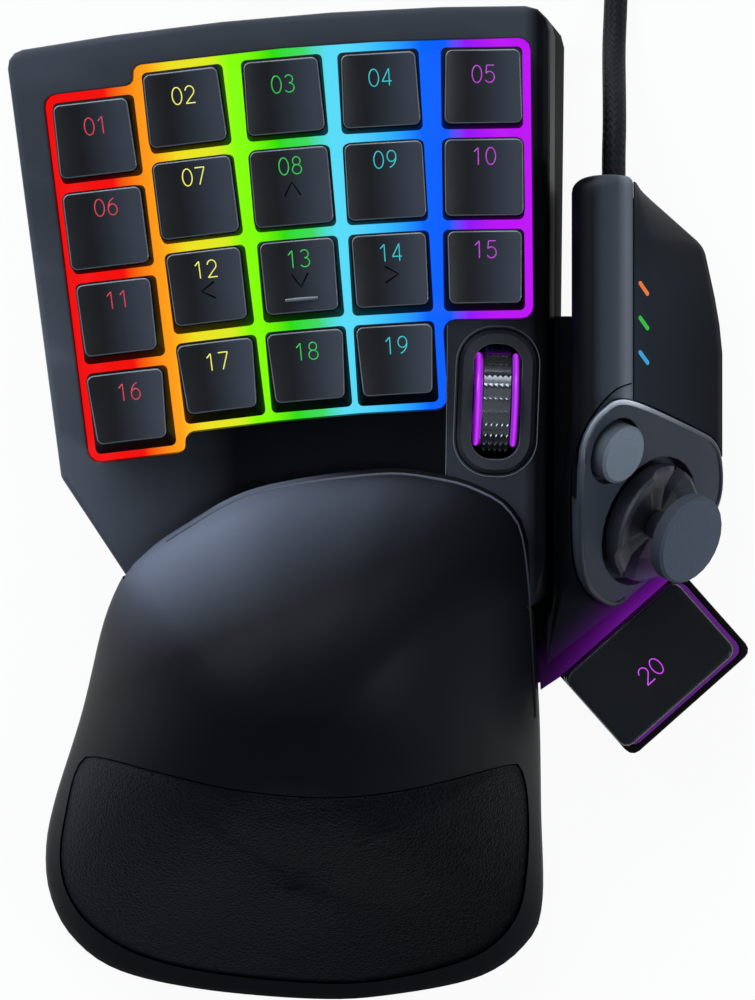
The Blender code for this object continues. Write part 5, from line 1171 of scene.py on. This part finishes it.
def palm_height(x, y):
    """The dome's height at a place, found by dropping a line onto it."""
    return dome_tree.ray_cast(Vector((x, y, 1.0)) + middle, Vector((0, 0, -1)))[0].z


palm_room = skin_of("palm_room", in_world(palm_rings(palm_wall, palm_bottom - palm_wall)), soft_black)
pad_edge = moved_in(pad_outline, -part_gap)
recess_rings = []
for share in (0.08, 0.25, 0.45, 0.65, 0.85, 1.0):
    ring = [pad_hub.lerp(p, share) for p in pad_edge]
    recess_rings.append([(*p, palm_height(*p) - pad_inset_depth) for p in ring])
recess_rings.append([(*p, palm_top + palm_wall) for p in pad_edge])
recess = skin_of("palm_recess", in_world(recess_rings), soft_black)
deck_corners = [(0.985, 0.000), (1.000, 0.080), (1.000, 1.000), (0.000, 0.923), (0.097, 0.219),
                (0.2555, 0.000)]
deck_edge = [Vector((deck_left + deck_width * x, deck_front + deck_length * y)) for x, y in deck_corners]
lean_x, lean_y, room_depth = 0.133, -0.090, 0.060
room_rings = []
for depth in (room_depth, -palm_deck_gap):
    room = moved_in(deck_edge, -palm_deck_gap * 1.4)
    room_rings.append([(p.x + lean_x * depth, p.y + lean_y * depth, -depth) for p in room])
deck_room = skin_of("deck_room", room_rings, soft_black)
deck_room.matrix_world = deck_frame
bpy.context.view_layer.update()
carve(palm_dome, palm_room, recess, deck_room)
rounded_off(palm_dome, 35.0)
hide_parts("palm_shell")
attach(palm_dome, "palm_rest")

# Painted highlight: a light stroke along the dome's back and right edge, fading towards the front.
palm_rim_highlight, rim_shader, rim_place = new_finish("palm_rim_highlight", Roughness=0.4, Specular_IOR_Level=0.1)
rim_right_front, rim_left_front = -0.045, -0.010
rim_inset, rim_drop, rim_stroke = 0.0011, 0.00022, 0.0007
rim_highlight_fade = rim_place.part("Y").between(rim_right_front, 0.004)
feed(rim_shader, Base_Color=(rim_highlight_fade * rim_highlight_fade).colours((0.0035, 0.0042, 0.0058), (0.110, 0.120, 0.145)))
around = moved_in(palm_outline, rim_inset)
lowest = min(range(palm_points), key=lambda i: around[i].y)
back_edge = [p for p in around[lowest:] + around[:lowest]
             if p.y > (rim_right_front if p.x > 0 else rim_left_front)]
rim_spots = [(*p, palm_height(*p) - middle.z - rim_drop) for p in back_edge]
rim_edge = thin_line("palm_edge", in_world([rim_spots])[0], rim_stroke, palm_rim_highlight, Matrix(), closed=False)
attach(rim_edge, "palm_rest")

# A sheet beside the palm rest. A thin dark sheet, riding with the base, is put where there is only shade in
# the corner between the deck, the palm rest's edge and the space key, and carries the key's violet light,
# painted on it.
shade_sheet_high, shade_sheet_low, shade_sheet_front, shade_sheet_back = 0.0147, 0.0133, -0.0392, -0.0215
shade_sheet_under, shade_sheet_gap, shade_sheet_top_x, shade_sheet_top_y = 0.0335, 0.0005, 0.0440, -0.0040
shade_sheet_left, shade_sheet_right, shade_sheet_side, shade_sheet_far = -0.0155, 0.0160, 0.0101, 0.0142
foot_high, foot_low, foot_back, foot_front = 0.0028, 0.0008, -0.0120, -0.0408
foot_inset, foot_top_x = 0.0020, 0.0400


def beside_palm(inset, front, back):
    """Places along the palm rest's right edge, from back to front."""
    side = [p for p in moved_in(palm_outline, inset) if p.x > 0 and front < p.y < back]
    return [(p.x + middle.x, p.y + middle.y) for p in reversed(sorted(side, key=lambda p: p.y))]


shade_sheet_corners = beside_palm(-shade_sheet_gap, shade_sheet_front, shade_sheet_back)
shade_sheet_corners += [by_key(px, py, 0)[:2]
                for px, py in ((shade_sheet_left, shade_sheet_side), (shade_sheet_right, shade_sheet_side), (shade_sheet_right, shade_sheet_far))]
shade_sheet_corners += [(shade_sheet_top_x + middle.x, shade_sheet_top_y + middle.y), (shade_sheet_under + middle.x, shade_sheet_top_y + middle.y),
                (shade_sheet_under + middle.x, shade_sheet_back + middle.y)]
shade_sheet = skin_of("apron_shade_sheet", [[(*c, z) for c in shade_sheet_corners] for z in (shade_sheet_low, shade_sheet_high)], apron_black)
foot_corners = beside_palm(foot_inset, foot_front, foot_back)
foot_corners += [by_key(shade_sheet_left, shade_sheet_side, 0)[:2], (foot_top_x + middle.x, foot_back + middle.y)]
join(shade_sheet, skin_of("shade_sheet_foot", [[(*c, z) for c in foot_corners] for z in (foot_low, foot_high)], apron_black))
rounded_off(shade_sheet, 30.0)
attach(shade_sheet, "base")

# The feet, gland, tie and plug. Black rubber with a dull skin, and a plated shell on the plug.
# Painted light: the rubber parts are painted a little lighter at their left.
black_rubber = moulded("black_rubber", (0.012, 0.012, 0.013), (0.008, 0.008, 0.009), 0.75, 0.00005, 0.0004)
dress("base_foot_1 base_foot_2 base_foot_3 base_foot_4 palm_foot_1 palm_foot_2", black_rubber)
dress("cable_gland coil_tie plug_body", black_rubber)
plug_metal, metal_shader, metal_place = new_finish("plug_metal", Metallic=1.0)
brushed = metal_place.grain(1600, 2.0)
feed(metal_shader, Base_Color=brushed.colours((0.60, 0.61, 0.63), (0.78, 0.79, 0.80)),
     Roughness=brushed * 0.15 + 0.22)
dress("plug_shell", plug_metal)

# The palm cushion. Foam under black leatherette with a fine grain lies in the recess. A short
# cloth run with its underside and edge held fills it, as the foam does.
pad_seat_gap, pad_crown, pad_edge_drop, pad_fill_most, pad_pressure = 0.0006, 0.0012, 0.0006, 0.0008, 2.0
cloth_frames, cloth_quality, cloth_stretch, cloth_bending, evening_passes = 20, 6, 25, 15, 240
pad_rings = []
for share in (0.06, 0.2, 0.4, 0.6, 0.8, 0.93, 1.0):
    ring = [pad_hub.lerp(p, share) for p in pad_outline]
    pad_rings.append([(*p, palm_height(*p) + pad_seat_gap - pad_inset_depth) for p in ring])
held_count = (len(pad_rings) + 1) * pad_points
for share in (1.0, 0.992, 0.98, 0.96, 0.93, 0.89, 0.84, 0.78, 0.71, 0.63, 0.54, 0.44, 0.33, 0.21, 0.08):
    crown = pad_crown * (1 - share**4) - pad_edge_drop * share**16
    ring = [pad_hub.lerp(p, share) for p in pad_outline]
    pad_rings.append([(*p, palm_height(*p) + crown) for p in ring])
leatherette, leather_shader, leather_place = new_finish("leatherette", Specular_IOR_Level=0.04)
pores = leather_place.node("ShaderNodeTexVoronoi", {"feature": "DISTANCE_TO_EDGE"},
                           {"Vector": leather_place, "Scale": 1100.0})
creases = leather_place.grain(420, 3.0)
skin = pores.between(0.0, 0.25) * 0.7 + creases * 0.3
# Painted light: the leatherette is painted lighter towards its left.
leather_left_light = leather_place.part("X").between(0.030, -0.065)
skin_painted_light = leather_left_light.colours((0.0006, 0.0007, 0.0008), (0.0110, 0.0125, 0.0165))
feed(leather_shader, Base_Color=(skin * 0.7).colours(skin_painted_light, (0.0045, 0.0050, 0.0068)),
     Roughness=0.52 - skin * 0.14, Normal=skin.bump(0.00016, 0.9))
cushion = skin_of("palm_cushion", in_world(pad_rings), leatherette)


def filled(piece, held, pressure, most):
    """A cloth run with air inside. Held points stay, and the others' moves are evened out."""
    mesh = piece.data
    start = [v.co.copy() for v in mesh.vertices]
    group = piece.vertex_groups.new(name="held")
    group.add(held, 1.0, "REPLACE")
    cloth = piece.modifiers.new("filling", "CLOTH")
    cloth.settings.quality = cloth_quality
    cloth.settings.vertex_group_mass = "held"
    cloth.settings.use_pressure = True
    cloth.settings.uniform_pressure_force = pressure
    cloth.settings.effector_weights.gravity = 0
    cloth.settings.tension_stiffness = cloth.settings.compression_stiffness = cloth_stretch
    cloth.settings.bending_stiffness = cloth_bending
    for step in range(1, cloth_frames + 1):
        bpy.context.scene.frame_set(step)
    shaped = piece.evaluated_get(bpy.context.evaluated_depsgraph_get()).data
    moved = np.array([v.co - start[v.index] for v in shaped.vertices])
    piece.modifiers.clear()
    bpy.context.scene.frame_set(1)
    ends = np.array([edge.vertices[:] for edge in mesh.edges])
    for _ in range(evening_passes):
        total, number = moved.copy(), np.ones((len(moved), 1))
        for here, there in ((0, 1), (1, 0)):
            np.add.at(total, ends[:, here], moved[ends[:, there]])
            np.add.at(number, ends[:, here], 1)
        moved = total / number
        moved[held] = 0
    for vertex, away in zip(mesh.vertices, moved):
        vertex.co = start[vertex.index] + Vector(away) * min(1, most / max(np.linalg.norm(away), 1e-9))


filled(cushion, list(range(held_count)), pad_pressure, pad_fill_most)
rounded_off(cushion, 60.0)
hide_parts("palm_pad")
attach(cushion, "palm_rest")
